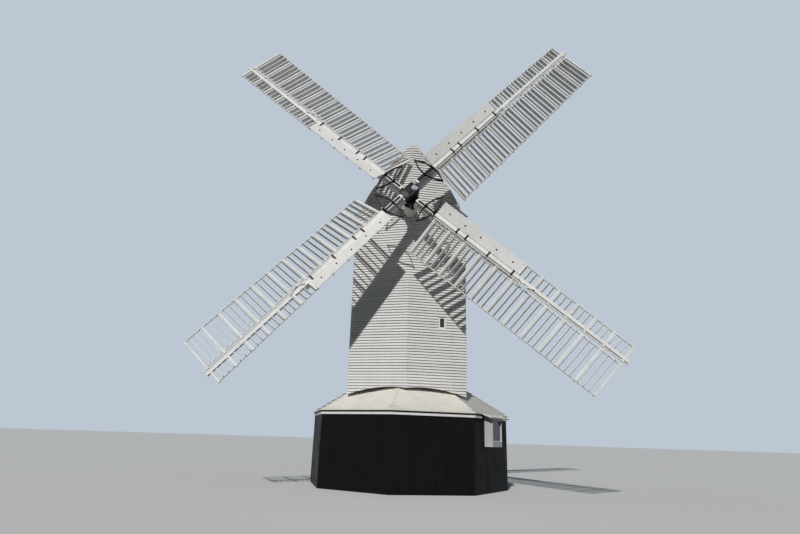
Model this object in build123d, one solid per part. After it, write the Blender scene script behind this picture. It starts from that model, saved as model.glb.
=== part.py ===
from build123d import *
import os
from math import atan, cos, degrees, hypot, radians, sin, tan

# A white weatherboarded post mill on a black octagonal roundhouse, with four spring sails.
# The timber body, called the buck, turns with its sails on one great post, and the roundhouse
# shelters the trestle that holds the post up. Sizes are in millimetres. +Z is up, the origin is
# at ground level on the post's axis, and the sails face -Y.

# Roundhouse: an octagon, with corner 0 nearest the front, turned a little against the buck
eaves_radius = 3760
roundhouse_turn = -6.2
eaves_height = 2550
roof_apex_height = 4760
roof_top_radius = 950
roof_thickness = 26
eaves_overhang = 55
wall_thickness = 230
corner_joint = 0.5
floor_thickness = 60
fascia_thickness = 25
fascia_drop = 34
fascia_height = 113

# Box windows of the roundhouse, each under a canopy that is kicked out from the eaves
window_facets = (1, 5)
window_offset = -200
window_width = 820
window_height = 900
window_sill_height = 1480
window_projection = 300
window_board = 28
sill_height = 200
opening_width = 640
opening_height = 640
glass_thickness = 10
canopy_length = 1650
canopy_offset = -25
canopy_reach = 300
canopy_drop = 110
canopy_thickness = 35

# Roundhouse door
door_facet = 3
door_width = 950
door_height = 1980
door_frame_width = 70
door_frame_depth = 120
door_thickness = 45
door_clearance = 4

# Trestle: piers, two crosstrees, four quarterbars and the post
pier_width = 560
pier_length = 480
pier_height = 620
crosstree_width = 300
crosstree_depth = 320
crosstree_half_length = 2900
bearing_gap = 0.5
quarterbar_width = 260
quarterbar_foot_radius = 2450
quarterbar_head_height = 3520
post_width = 740
post_shoulder_height = 3900
post_radius = 300
post_top_height = 6380
pintle_radius = 90
pintle_length = 150
pintle_clearance = 0.1

# Buck: the boarded body, with a breast folded to a shallow prow
buck_half_width = 2070
breast_corner_depth = 2105
prow_depth = 450
tail_depth = 3000
buck_wall = 100
skirt_clearance = 70
buck_eaves_height = 9850
buck_apex_height = 12900
roof_sagitta = 185
roof_peak_radius = 380
buck_roof_thickness = 60
roof_lap = 30

# Floor and frame of the buck
floor_board = 80
sheer_clearance = 60
post_hole_clearance = 20
sheer_width = 220
sheer_depth = 260
sheer_gap = 325
sheer_front = 2200
tie_width = 250
tie_front = 1200
crown_tree_width = 550
crown_tree_depth = 550
side_girt_width = 200
side_girt_front = 1940

# Small window in the right half of the breast
breast_window_offset = 1270
breast_window_height = 5675
breast_window_width = 270
breast_window_rise = 430
breast_window_board = 55
breast_frame_depth = 130

# Tail door, platform, ladder and tail pole
tail_door_width = 800
tail_door_height = 1850
platform_half_width = 700
platform_reach = 750
platform_board = 60
ladder_half_width = 450
ladder_foot_reach = 7700
ladder_string_width = 60
ladder_string_depth = 240
ladder_ground_gap = 10
tread_rise = 240
tread_depth = 220
tread_board = 40
rail_height = 900
rail_radius = 25
rail_post_width = 60
pole_width = 200
pole_drop = 220
pole_end_reach = 9300
pole_end_height = 1050
pole_clearance = 12

# Windshaft: the inclined axle that carries the sails at its nose
hub_reach = 3856
hub_height = 10085
shaft_tilt = 8.45
shaft_width = 460
neck_radius = 130
neck_start = 1860
neck_length = 300
neck_collar = 80
neck_clearance = 0.3
gudgeon_radius = 60
gudgeon_start = 6400
gudgeon_length = 300
breast_opening_radius = 320
bearing_width = 340
bearing_thickness = 60
weather_beam_width = 300
weather_beam_depth = 350
tail_beam_width = 260
tail_beam_depth = 280

# Sails, numbered anticlockwise from the one that points up and to the right
sail_turn = 48.2
whip_radius = 9140
whip_start = 380
whip_heel_width = 150
whip_tip_width = 100
whip_heel_front = 90
whip_tip_front = 48
whip_heel_back = 90
whip_tip_back = 52
whip_plane_offset = 170
bay_count = 11
first_bar_radius = 1368
bay_length = 692
weather_heel = 23.4
weather_tip = 6.0
surface_forward = 15
bar_width = 68
bar_depth = 60
bar_overrun = 20
mortise_clearance = 0.5
trailing_width = 1480
leading_width = 490
hemlath_width = 30
uplong_offset = 200
uplong_width = 36
leading_rail_width = 30
rail_depth = 50
board_bays = 5
board_thickness = 25
board_inner = 78
board_outer = 496
board_overrun = 70
board_seat = 1
shutters_per_bay = 3
shutter_start = 90
shutter_pitch = 205
shutter_width = 190
shutter_thickness = 20
shutter_tilt = 5
shutter_inner = 76
shutter_clearance = 0.8
rod_offset = 115
rod_width = 32
rod_height = 34
lever_thickness = 12
rod_end_radius = 9190

# Springs across the heels of the sails
spring_radius = 1010
spring_half_length = 680
spring_rise = 190
spring_leaf = 26
spring_width = 80
spring_clearance = 0.7

# Stocks, the iron poll end that holds them, wedges and clamps
stock_hub_width = 240
stock_end_width = 130
stock_hub_depth = 320
stock_end_depth = 190
stock_half_length = 5050
stock_seat = 0.2
poll_half_length = 330
poll_wall = 60
poll_flange_radius = 260
poll_flange_thickness = 90
wedge_thickness = 24
wedge_taper = 10
wedge_overrun = 90
wedge_width = 120

far = 20000
front_corner = (-buck_half_width, -breast_corner_depth)
breast_angle = degrees(atan(prow_depth / buck_half_width))
fold_reach = breast_corner_depth + prow_depth
half_facet = 22.5
eaves_apothem = eaves_radius * cos(radians(half_facet))
wall_apothem = eaves_apothem - eaves_overhang
wall_inner_apothem = wall_apothem - wall_thickness
roof_slope = (roof_apex_height - eaves_height) / eaves_apothem
hip_slope = (roof_apex_height - eaves_height) / eaves_radius
roof_drop = roof_thickness / cos(atan(roof_slope))
roof_hole_height = roof_apex_height - roof_slope * roof_top_radius * cos(radians(half_facet))
floor_height = roof_hole_height + sheer_clearance + sheer_depth + floor_board
pole_head_height = floor_height - pole_drop
cone_depth = roof_apex_height - eaves_height + crosstree_depth
trestle_top = floor_thickness + pier_height + 2 * crosstree_depth + bearing_gap


def polygon(points):
    """A closed face through the given points of the XY plane."""
    return make_face(Polyline(*points, close=True))


def prism(points, low, high):
    """A plan outline raised from one height to another."""
    return extrude(Pos(0, 0, low) * polygon(points), amount=high - low)


def side_prism(points, half_width, middle=0):
    """An outline in (y, z), carried to both sides along X."""
    return extrude(Plane.YZ.offset(middle) * polygon(points), amount=half_width, both=True)


def beam(start, end, width, depth):
    """A straight timber between two centre points, its width level."""
    run = Vector(*end) - Vector(*start)
    plane = Plane(origin=start, x_dir=run.cross(Vector(0, 0, 1)), z_dir=run)
    return extrude(plane * Rectangle(width, depth), amount=run.length)


def below(height):
    """All of space under a height, to cut with."""
    return Pos(0, 0, height - far / 2) * Box(far, far, far)


def save(node, *solids):
    """Write one named sub-part, which may be several solids that don't touch."""
    pieces = [solid for shape in solids for solid in shape.solids()]
    shape = pieces[0] if len(pieces) == 1 else Compound(pieces)
    export_step(shape, f"parts/{node}.step")


# Roundhouse
def facet(number):
    """The place of one side of the octagon, built with its outer face towards -Y."""
    return Rot(0, 0, roundhouse_turn + half_facet + 45 * number)


def roof_top(apothem):
    """The height of the roof's upper surface, at a distance out along a facet's middle."""
    return roof_apex_height - roof_slope * apothem


def roof_under(apothem):
    """The height of the roof's underside."""
    return roof_top(apothem) - roof_drop


def sector():
    """One eighth of the plan, short of its neighbours by the corner joint."""
    spread = tan(radians(half_facet))
    inset = corner_joint / sin(radians(half_facet))
    reach = far / 2
    return prism([(0, -inset), (reach * spread, -inset - reach), (-reach * spread, -inset - reach)], -10, far)


def roundhouse_walls():
    """Eight tarred brick walls under the slope of the roof, with the door and windows cut through."""
    section = [(-wall_apothem, 0), (-wall_apothem, roof_under(wall_apothem)),
               (-wall_inner_apothem, roof_under(wall_inner_apothem)), (-wall_inner_apothem, 0)]
    plain = side_prism(section, eaves_radius) & sector()
    window_hole = Pos(window_offset, -wall_apothem, window_sill_height + sill_height + opening_height / 2)
    door_hole = Pos(0, -wall_apothem, door_height / 2 - 1)
    windowed = plain - window_hole * Box(opening_width, 3 * wall_thickness, opening_height)
    doored = plain - door_hole * Box(door_width, 3 * wall_thickness, door_height + 2)
    others = [n for n in range(8) if n not in window_facets and n != door_facet]
    save("roundhouse_walls", *[facet(n) * plain for n in others])
    save("roundhouse_window_walls", *[facet(n) * windowed for n in window_facets])
    save("roundhouse_door_wall", facet(door_facet) * doored)


def roundhouse_floor():
    """A paved floor inside the walls, with a paved step in the doorway."""
    inner_radius = wall_inner_apothem / cos(radians(half_facet))
    outline = Rot(0, 0, roundhouse_turn - 90) * RegularPolygon(inner_radius, 8)
    paving = extrude(outline, amount=floor_thickness)
    step = Box(door_width, wall_thickness + 1, floor_thickness, align=(Align.CENTER, Align.MIN, Align.MIN))
    save("roundhouse_floor", paving + facet(door_facet) * Pos(0, -wall_apothem, 0) * step)


def roundhouse_roof():
    """Eight roof slopes that meet at the hips and stop at a ring round the post."""
    top = roof_top_radius * cos(radians(half_facet))
    section = [(-top, roof_top(top)), (-eaves_apothem, eaves_height),
               (-eaves_apothem, eaves_height - roof_drop), (-top, roof_under(top))]
    slope = side_prism(section, eaves_radius) & sector()
    save("roundhouse_roof", *[facet(n) * slope for n in range(8)])


def eaves_fascia():
    """White boards on the wall under the eaves, stopped at the window canopies."""
    top = roof_under(wall_apothem + fascia_thickness) - fascia_drop
    section = [(-wall_apothem, top), (-wall_apothem - fascia_thickness, top),
               (-wall_apothem - fascia_thickness, top - fascia_height), (-wall_apothem, top - fascia_height)]
    board = side_prism(section, eaves_radius) & sector()
    gap = Pos(canopy_offset, -wall_apothem, eaves_height) * Box(canopy_length, far / 50, far / 50)
    boards = [board - gap if n in window_facets else board for n in range(8)]
    save("eaves_fascia", *[facet(n) * boards[n] for n in range(8)])


def canopy_under(apothem):
    """The height of a canopy's underside, at a distance out along a facet's middle."""
    start = eaves_height - canopy_thickness
    return start - canopy_drop * (apothem - eaves_apothem) / canopy_reach


def window_boxes():
    """A boxed window on each window side: sill, cheeks and head rail in front of the wall."""
    face = wall_apothem + window_projection
    sill_top = window_sill_height + sill_height
    glass_line = face - 2 * window_board
    sill = side_prism([(-wall_apothem, window_sill_height), (-face, window_sill_height),
                       (-face, sill_top - window_board), (-glass_line, sill_top), (-wall_apothem, sill_top)],
                      window_width / 2)
    head_low = window_sill_height + window_height - 2 * window_board
    sides = [(-wall_apothem, sill_top), (-face, sill_top - window_board), (-face, canopy_under(face)),
             (-eaves_apothem, canopy_under(eaves_apothem)), (-eaves_apothem, roof_under(eaves_apothem)),
             (-wall_apothem, roof_under(wall_apothem))]
    shell = side_prism(sides, window_width / 2)
    hollow = Box(window_width - 2 * window_board, far / 10, far / 10)
    cheeks = shell - Pos(0, -face, sill_top) * hollow
    head = side_prism([(-glass_line, head_low), (-face, head_low), (-face, canopy_under(face)),
                       (-glass_line, canopy_under(glass_line))], window_width / 2)
    box = sill + cheeks + head
    pane_width = window_width - 2 * window_board - 2 * corner_joint
    middle = (sill_top + head_low) / 2
    pane = Box(pane_width, glass_thickness, head_low - sill_top - 2 * corner_joint)
    pane = Pos(0, -glass_line + glass_thickness / 2 + 1, middle) * pane
    place = Pos(window_offset, 0, 0)
    save("roundhouse_window_boxes", *[facet(n) * place * box for n in window_facets])
    save("roundhouse_window_glass", *[facet(n) * place * pane for n in window_facets])


def window_canopies():
    """A board roof over each window box, kicked out from the edge of the main roof."""
    start = eaves_apothem + corner_joint
    end = eaves_apothem + canopy_reach
    section = [(-start, canopy_under(start)), (-end, canopy_under(end)),
               (-end, canopy_under(end) + canopy_thickness), (-start, canopy_under(start) + canopy_thickness)]
    canopy = Pos(canopy_offset, 0, corner_joint) * side_prism(section, canopy_length / 2)
    save("window_canopies", *[facet(n) * canopy for n in window_facets])


def framed_door(width, height, outer_face, low):
    """A door frame and its closed plank leaf, flush with an outer face towards -Y."""
    leaf_width = width - 2 * door_frame_width
    leaf_height = height - door_frame_width
    depth = Pos(0, -outer_face + door_frame_depth / 2, 0)
    frame = depth * Pos(0, 0, low + height / 2) * Box(width, door_frame_depth, height)
    frame -= Pos(0, -outer_face, low + leaf_height / 2) * Box(leaf_width, 3 * door_frame_depth, leaf_height)
    leaf = Box(leaf_width - 2 * door_clearance, door_thickness, leaf_height - 2 * door_clearance)
    leaf = Pos(0, -outer_face + door_frame_depth / 2, low + leaf_height / 2) * leaf
    stop_width = door_frame_width / 2
    stop = Pos(0, -outer_face + door_frame_depth / 2 + door_thickness / 2 + stop_width / 2,
               low + leaf_height / 2) * Box(leaf_width, stop_width, leaf_height)
    stop -= Pos(0, -outer_face, low + leaf_height / 2 - stop_width) * Box(
        leaf_width - 2 * stop_width, 4 * door_frame_depth, leaf_height)
    return frame + stop, leaf


def roundhouse_door():
    """The low door of the roundhouse, on its sheltered side."""
    frame, leaf = framed_door(door_width, door_height - floor_thickness, wall_apothem, floor_thickness)
    save("roundhouse_door_frame", facet(door_facet) * frame)
    save("roundhouse_door", facet(door_facet) * leaf)


# Trestle
def crosstree_place(number):
    """The direction of one end of a crosstree, towards a corner of the octagon."""
    return Rot(0, 0, roundhouse_turn + 45 + 90 * number)


def trestle():
    """Brick piers, two crossed trees and four quarterbars that brace the post."""
    lower_base = floor_thickness + pier_height
    upper_base = lower_base + crosstree_depth + bearing_gap
    bases = (lower_base, upper_base)
    piers = []
    bars = []
    for number in range(4):
        base = bases[number % 2]
        pier = Box(pier_width, pier_length, base - floor_thickness, align=(Align.CENTER, Align.MAX, Align.MIN))
        piers.append(crosstree_place(number) * Pos(0, crosstree_half_length, floor_thickness) * pier)
        foot_height = base + crosstree_depth - quarterbar_width / 2
        bar = beam((0, quarterbar_foot_radius, foot_height), (0, 0, quarterbar_head_height + quarterbar_width),
                   quarterbar_width, quarterbar_width)
        bar = bar - below(base + crosstree_depth) - octagonal_post()
        bars.append(crosstree_place(number) * bar)
    tree = Box(crosstree_width, 2 * crosstree_half_length, crosstree_depth,
               align=(Align.CENTER, Align.CENTER, Align.MIN))
    save("brick_piers", *piers)
    save("crosstrees", *[crosstree_place(n) * Pos(0, 0, bases[n]) * tree for n in range(2)])
    save("quarterbars", *bars)


def octagonal_post():
    """The lower part of the post, with flats towards the quarterbars."""
    corner_radius = post_width / 2 / cos(radians(half_facet))
    outline = Rot(0, 0, half_facet) * RegularPolygon(corner_radius, 8)
    base = trestle_top + bearing_gap
    return Pos(0, 0, base) * extrude(outline, amount=post_shoulder_height - base)


def main_post():
    """The great post, worked round above its shoulder, with the iron pintle on its head."""
    shaft = Cylinder(post_radius, post_top_height - post_shoulder_height,
                     align=(Align.CENTER, Align.CENTER, Align.MIN))
    shoulder = Cone(post_width / 2, post_radius, post_width / 3, align=(Align.CENTER, Align.CENTER, Align.MIN))
    pintle = Cylinder(pintle_radius, pintle_length, align=(Align.CENTER, Align.CENTER, Align.MIN))
    lower = crosstree_place(0) * octagonal_post()
    upper = Pos(0, 0, post_shoulder_height) * (shaft + shoulder)
    save("main_post", lower + upper + Pos(0, 0, post_top_height) * pintle)


# Buck
def skirt_cone():
    """The space the roundhouse roof needs as the buck turns over its hips."""
    tip = roof_apex_height + skirt_clearance
    low = roof_apex_height - cone_depth
    cone = Cone((tip - low) / hip_slope, 0, tip - low, align=(Align.CENTER, Align.CENTER, Align.MIN))
    return Pos(0, 0, low) * cone


def arch(height_below):
    """The outline of the buck's roof in (x, z), with its foot carried straight down a little."""
    foot = (buck_half_width, buck_eaves_height)
    apex = (0, buck_apex_height)
    chord = hypot(foot[0], apex[1] - foot[1])
    bulge_x = foot[0] / 2 + roof_sagitta * (apex[1] - foot[1]) / chord
    bulge_z = (foot[1] + apex[1]) / 2 + roof_sagitta * foot[0] / chord
    right = ThreePointArc(foot, (bulge_x, bulge_z), apex)
    left = ThreePointArc(apex, (-bulge_x, bulge_z), (-foot[0], foot[1]))
    low = buck_eaves_height - height_below
    base = Polyline((-foot[0], foot[1]), (-foot[0], low), (foot[0], low), foot)
    face = make_face([right, left, base])
    peak = face.vertices().sort_by(Axis.Y)[-1]
    return fillet(peak, roof_peak_radius)


def gable_space():
    """Everything under the roof boards, which the end walls fill to the top."""
    inside = offset(arch(4 * buck_roof_thickness), amount=-buck_roof_thickness, kind=Kind.INTERSECTION)
    block = extrude(Plane.XZ * inside, amount=far / 2, both=True)
    return block + Pos(0, 0, buck_eaves_height - far / 2) * Box(2 * buck_half_width, far, far)


def inner_corner():
    """The plan point inside the corner of the breast, one wall thickness from both faces."""
    turn = radians(breast_angle)
    return (-buck_half_width + buck_wall,
            -breast_corner_depth + buck_wall * (1 - sin(turn)) / cos(turn))


def inner_fold():
    """The plan point inside the prow."""
    return (0, -fold_reach + buck_wall / cos(radians(breast_angle)))


def mirrored(points):
    """The same plan points on the right-hand side."""
    return [(-x, y) for x, y in points]


def shaft_place():
    """The hub, with Z forward along the windshaft, X to the right and Y up the plane of the sails."""
    tilt = radians(shaft_tilt)
    return Plane(origin=(0, -hub_reach, hub_height), x_dir=(1, 0, 0), z_dir=(0, -cos(tilt), sin(tilt))).location


def breast_place():
    """The right half of the breast, with the prow as its left edge and its face towards -Y."""
    return Pos(0, -fold_reach, 0) * Rot(0, 0, breast_angle)


def breast_walls():
    """The two boarded halves of the breast, opened for the windshaft and one small window."""
    outline = [front_corner, (0, -fold_reach), inner_fold(), inner_corner()]
    low = eaves_height
    opening = shaft_place() * Cylinder(breast_opening_radius, 2 * gudgeon_start)
    cut = skirt_cone() + opening
    left = (prism(outline, low, buck_apex_height) & gable_space()) - cut
    right = (prism(mirrored(outline), low, buck_apex_height) & gable_space()) - cut
    hole = Box(breast_window_width, 4 * buck_wall, breast_window_rise)
    window = breast_place() * Pos(breast_window_offset, 0, breast_window_height) * hole
    save("breast_left", left)
    save("breast_right", right - window)


def breast_window():
    """A small framed window in the breast: four boards round one pane."""
    place = breast_place() * Pos(breast_window_offset, breast_frame_depth / 2, breast_window_height)
    frame = Box(breast_window_width, breast_frame_depth, breast_window_rise)
    light_width = breast_window_width - 2 * breast_window_board
    light_rise = breast_window_rise - 2 * breast_window_board
    frame -= Box(light_width, 2 * breast_frame_depth, light_rise)
    pane = Box(light_width - 2 * corner_joint, glass_thickness, light_rise - 2 * corner_joint)
    save("breast_window_frame", place * frame)
    save("breast_window_glass", place * pane)


def side_and_tail_walls():
    """The long walls under the eaves, and the tail wall with its door and the tail pole's slot."""
    side = [front_corner, inner_corner(), (inner_corner()[0], tail_depth - buck_wall),
            (-buck_half_width, tail_depth)]
    tail = [(-buck_half_width, tail_depth), side[2], (-side[2][0], side[2][1]), (buck_half_width, tail_depth)]
    low = eaves_height - 200
    save("side_wall_left", prism(side, low, buck_eaves_height) - skirt_cone())
    save("side_wall_right", prism(mirrored(side), low, buck_eaves_height) - skirt_cone())
    doorway = Pos(0, tail_depth, floor_height + tail_door_height / 2)
    slot = pole_width + 2 * pole_clearance
    wall = (prism(tail, low, buck_apex_height) & gable_space()) - skirt_cone()
    wall -= doorway * Box(tail_door_width, 4 * buck_wall, tail_door_height)
    save("tail_wall", wall - pole(slot))


def buck_roof():
    """Two curved slopes of boarding that meet at a rounded peak, cut at the front to the prow."""
    outer = arch(4 * buck_roof_thickness)
    inner = offset(outer, amount=-buck_roof_thickness, kind=Kind.INTERSECTION)
    shell = extrude(Plane.XZ * (outer - inner), amount=far / 2, both=True) - below(buck_eaves_height)
    nose = fold_reach + roof_lap / cos(radians(breast_angle))
    edge = 2 * buck_half_width
    back = tail_depth + roof_lap
    half = [(0, -nose), (edge, -nose + edge * tan(radians(breast_angle))), (edge, back), (0, back)]
    top = buck_apex_height + 100
    save("roof_right", shell & prism(half, buck_eaves_height, top))
    save("roof_left", shell & prism(mirrored(half), buck_eaves_height, top))


def floor_and_sheers():
    """The lower floor inside the walls, on the two long sheers that flank the post."""
    side_x, side_y = inner_corner()
    tail = tail_depth - buck_wall
    outline = [(side_x, side_y), inner_fold(), (-side_x, side_y), (-side_x, tail), (side_x, tail)]
    hole = Cylinder(post_radius + post_hole_clearance, far)
    save("lower_floor", prism(outline, floor_height - floor_board, floor_height) - hole)
    top = floor_height - floor_board
    length = sheer_front + tail
    sheer = Box(sheer_width, length, sheer_depth, align=(Align.MIN, Align.MIN, Align.MAX))
    sheers = [Pos(sheer_gap, -sheer_front, top) * sheer,
              Pos(-sheer_gap - sheer_width, -sheer_front, top) * sheer]
    tie = Box(2 * sheer_gap, tie_width, sheer_depth, align=(Align.CENTER, Align.MIN, Align.MAX))
    save("sheers", sheers[0] + sheers[1] + Pos(0, tie_front, top) * tie)


def crown_tree_and_girts():
    """The crown tree that turns on the post's head, and the girts that hang the side walls on it."""
    base = post_top_height + bearing_gap
    girt_x = buck_half_width - buck_wall
    tree = Box(2 * (girt_x - side_girt_width), crown_tree_width, crown_tree_depth,
               align=(Align.CENTER, Align.CENTER, Align.MIN))
    bore = Cylinder(pintle_radius + pintle_clearance, 2 * (pintle_length + bearing_gap))
    save("crown_tree", Pos(0, 0, base) * (tree - bore))
    girt = Box(side_girt_width, side_girt_front + tail_depth - buck_wall, crown_tree_depth,
               align=(Align.MIN, Align.MIN, Align.MIN))
    right = Pos(girt_x - side_girt_width, -side_girt_front, base) * girt
    left = Pos(-girt_x, -side_girt_front, base) * girt
    save("side_girts", left, right)


def tail_entrance():
    """The tail door in its frame, and the platform outside it."""
    turn_round = Rot(0, 0, 180)
    frame, leaf = framed_door(tail_door_width, tail_door_height, tail_depth, floor_height)
    save("tail_door_frame", turn_round * frame)
    save("tail_door", turn_round * leaf)
    board = Box(2 * platform_half_width, platform_reach, platform_board,
                align=(Align.CENTER, Align.MIN, Align.MAX))
    save("tail_platform", Pos(0, tail_depth, floor_height) * board)


def ladder_line(drop):
    """The point (y, z) on the ladder's centre line at a drop below the platform."""
    top_y = tail_depth + platform_reach - ladder_string_depth / 2
    top_z = floor_height - platform_board
    return top_y + (ladder_foot_reach - top_y) * drop / top_z, top_z - drop


def ladder():
    """Two strings from the platform down to just clear of the ground, with level treads between."""
    start = ladder_line(-ladder_string_depth)
    end = ladder_line(floor_height)
    low = below(ladder_ground_gap)
    strings = []
    for side in (-1, 1):
        x = side * (ladder_half_width + ladder_string_width / 2)
        string = beam((x, *start), (x, *end), ladder_string_width, ladder_string_depth)
        top_block = Pos(0, 0, floor_height - platform_board + far / 2) * Box(far, far, far)
        strings.append(string - low - top_block)
    save("ladder_strings", *strings)
    treads = []
    drop = tread_rise
    while floor_height - platform_board - drop > tread_rise / 2:
        y, z = ladder_line(drop)
        tread = Box(2 * (ladder_half_width - corner_joint), tread_depth, tread_board)
        treads.append(Pos(0, y, z) * tread - pole(pole_width + 2 * pole_clearance))
        drop += tread_rise
    save("ladder_treads", *treads)


def handrails():
    """A round rail on posts outside each string, and a level one along each side of the platform."""
    rails = []
    for side in (-1, 1):
        x = side * (ladder_half_width + ladder_string_width + rail_post_width / 2 + corner_joint)
        start_y, start_z = ladder_line(0)
        end_y, end_z = ladder_line(floor_height - 2 * tread_rise)
        run = Vector(0, end_y - start_y, end_z - start_z)
        place = Plane(origin=(x, start_y, start_z + rail_height), z_dir=run)
        rail = extrude(place * Circle(rail_radius), amount=run.length)
        post = Box(rail_post_width, rail_post_width, rail_height, align=(Align.CENTER, Align.CENTER, Align.MIN))
        for share in (0.06, 0.5, 0.94):
            rail += Pos(x, start_y + run.Y * share, start_z + run.Z * share) * post
        edge = side * (platform_half_width - rail_post_width / 2)
        near = tail_depth + rail_post_width
        length = platform_reach - 1.5 * rail_post_width
        level_start = Plane(origin=(edge, near, floor_height + rail_height), z_dir=(0, 1, 0))
        level = extrude(level_start * Circle(rail_radius), amount=length)
        for y in (near, near + length):
            level += Pos(edge, y, floor_height) * post
        rails += [rail, level]
    save("handrails", *rails)


def pole(width):
    """The tail pole's timber, from the tie between the sheers out past the ladder."""
    head_y = tie_front + tie_width
    run = (pole_end_reach - head_y, pole_end_height - pole_head_height)
    length = hypot(*run)
    back = (head_y - 200 * run[0] / length, pole_head_height - 200 * run[1] / length)
    timber = beam((0, *back), (0, pole_end_reach, pole_end_height), width, width)
    return timber - Pos(0, head_y - far / 2, 0) * Box(far, far, far)


# Windshaft and its bearings
def along_shaft(start, length, shape):
    """A shape on the shaft's axis, from a distance behind the hub backwards."""
    return shaft_place() * Pos(0, 0, -start - length) * extrude(shape, amount=length)


def windshaft():
    """An oak shaft with eight sides, painted outside, on an iron neck in front and an iron gudgeon behind."""
    poll_back = poll_depths()[1]
    corner_radius = shaft_width / 2 / cos(radians(half_facet))
    body = Rot(0, 0, half_facet) * RegularPolygon(corner_radius, 8)
    neck_end = neck_start + neck_length + neck_collar
    nose = along_shaft(-poll_back, neck_start - neck_collar + poll_back, body)
    neck = along_shaft(neck_start - neck_collar, neck_length + 2 * neck_collar, Circle(neck_radius))
    main = along_shaft(neck_end, gudgeon_start - neck_end - neck_collar, body)
    gudgeon = along_shaft(gudgeon_start - neck_collar, gudgeon_length + 2 * neck_collar, Circle(gudgeon_radius))
    save("shaft_nose", nose)
    save("iron_neck", neck)
    save("windshaft", main + gudgeon)


def shaft_bearing(start, length, radius):
    """An open half bearing under the shaft, cut level where it sits on its beam."""
    drop = radius + bearing_thickness
    middle = start + length / 2
    tilt = radians(shaft_tilt)
    seat = hub_height - middle * sin(tilt) - drop / cos(tilt)
    block = Box(bearing_width, 2 * drop, length - 20, align=(Align.CENTER, Align.MAX, Align.CENTER))
    bore = Cylinder(radius + neck_clearance, 2 * length)
    return shaft_place() * Pos(0, 0, -middle) * (block - bore) - below(seat), seat


def shaft_beams():
    """Cross beams under the neck and the tail of the windshaft, between the side walls."""
    tilt = radians(shaft_tilt)
    beams = []
    bearings = []
    for start, length, radius, width, depth in (
            (neck_start, neck_length, neck_radius, weather_beam_width, weather_beam_depth),
            (gudgeon_start, gudgeon_length, gudgeon_radius, tail_beam_width, tail_beam_depth)):
        bearing, seat = shaft_bearing(start, length, radius)
        y = -hub_reach + (start + length / 2) * cos(tilt)
        timber = Box(2 * (buck_half_width - buck_wall), width, depth,
                     align=(Align.CENTER, Align.CENTER, Align.MAX))
        beams.append(Pos(0, y, seat) * timber)
        bearings.append(bearing)
    save("shaft_beams", *beams)
    save("shaft_bearings", *bearings)


# Sails: x runs out along the whip, -y is the trailing side, z is forward along the windshaft
def bar_radius(number):
    """The distance of a sail bar from the hub."""
    return first_bar_radius + number * bay_length


def depth(radius, across):
    """How far forward the twisted sail lies, at a distance across towards the trailing side."""
    share = (radius - first_bar_radius) / (bay_count * bay_length)
    weather = weather_heel + (weather_tip - weather_heel) * share
    return surface_forward - across * tan(radians(weather))


def slat(radius, thickness, start, end, low, high):
    """A board across the sail, on the twisted surface and with its ends square to the plane."""
    points = [(-start, depth(radius, start) + low), (-end, depth(radius, end) + low),
              (-end, depth(radius, end) + high), (-start, depth(radius, start) + high)]
    return side_prism(points, thickness / 2, radius)


def rail(radii, start, end, low, high):
    """A long lath that follows the twist from one radius to the next."""
    sections = []
    for radius in radii:
        points = [(-start, depth(radius, start) + low), (-end, depth(radius, end) + low),
                  (-end, depth(radius, end) + high), (-start, depth(radius, start) + high)]
        sections.append(Plane.YZ.offset(radius) * polygon(points))
    return loft(sections, ruled=True)


def sail_place(number):
    """The place of a sail. The stocks lie one behind the other, and the whips lean to meet at the tips."""
    side = 1 if number % 2 == 0 else -1
    lean = side * degrees(atan(whip_plane_offset / whip_radius))
    turn = Rot(0, 0, sail_turn + 90 * number)
    return shaft_place() * turn * Pos(0, 0, side * whip_plane_offset) * Rot(0, lean, 0)


def whip_size(radius, heel, tip):
    """A size of the whip that tapers evenly from the hub to the tip."""
    return heel + (tip - heel) * radius / whip_radius


def whip():
    """The tapered backbone of a sail, with a mortise for each bar."""
    sections = []
    for radius in (whip_start, whip_radius):
        half = whip_size(radius, whip_heel_width, whip_tip_width) / 2
        front = whip_size(radius, whip_heel_front, whip_tip_front)
        back = -whip_size(radius, whip_heel_back, whip_tip_back)
        section = polygon([(-half, back), (half, back), (half, front), (-half, front)])
        sections.append(Plane.YZ.offset(radius) * section)
    timber = loft(sections, ruled=True)
    half_bar = bar_depth / 2 + mortise_clearance
    for number in range(bay_count + 1):
        thickness = bar_width + 2 * mortise_clearance
        timber -= slat(bar_radius(number), thickness, -whip_heel_width, whip_heel_width, -half_bar, half_bar)
    return timber


def lattice():
    """Bars through the whip, with the hemlath outside, the uplong inside and a rail in front."""
    radii = [bar_radius(n) for n in range(bay_count + 1)]
    half_rail = rail_depth / 2
    frame = rail(radii, trailing_width - hemlath_width, trailing_width, -half_rail, half_rail)
    frame += rail(radii, uplong_offset, uplong_offset + uplong_width, -half_rail, half_rail)
    frame += rail(radii[board_bays:], -leading_width, -leading_width + leading_rail_width, -half_rail, half_rail)
    for radius in radii:
        frame += slat(radius, bar_width, -leading_width - bar_overrun, trailing_width + bar_overrun,
                      -bar_depth / 2, bar_depth / 2)
    return frame


def leading_board():
    """The wide board in front of the inner bars, on the leading side."""
    radii = [bar_radius(n) for n in range(board_bays + 1)]
    radii[0] -= board_overrun
    radii[-1] += board_overrun
    low = bar_depth / 2 + board_seat
    return rail(radii, -board_outer, -board_inner, low, low + board_thickness)


def shutter_radii(first_bay):
    """The pivot line of each shutter from one bay outwards, three to a bay."""
    return [bar_radius(bay) + shutter_start + shutter_pitch * n
            for bay in range(first_bay, bay_count) for n in range(shutters_per_bay)]


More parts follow.
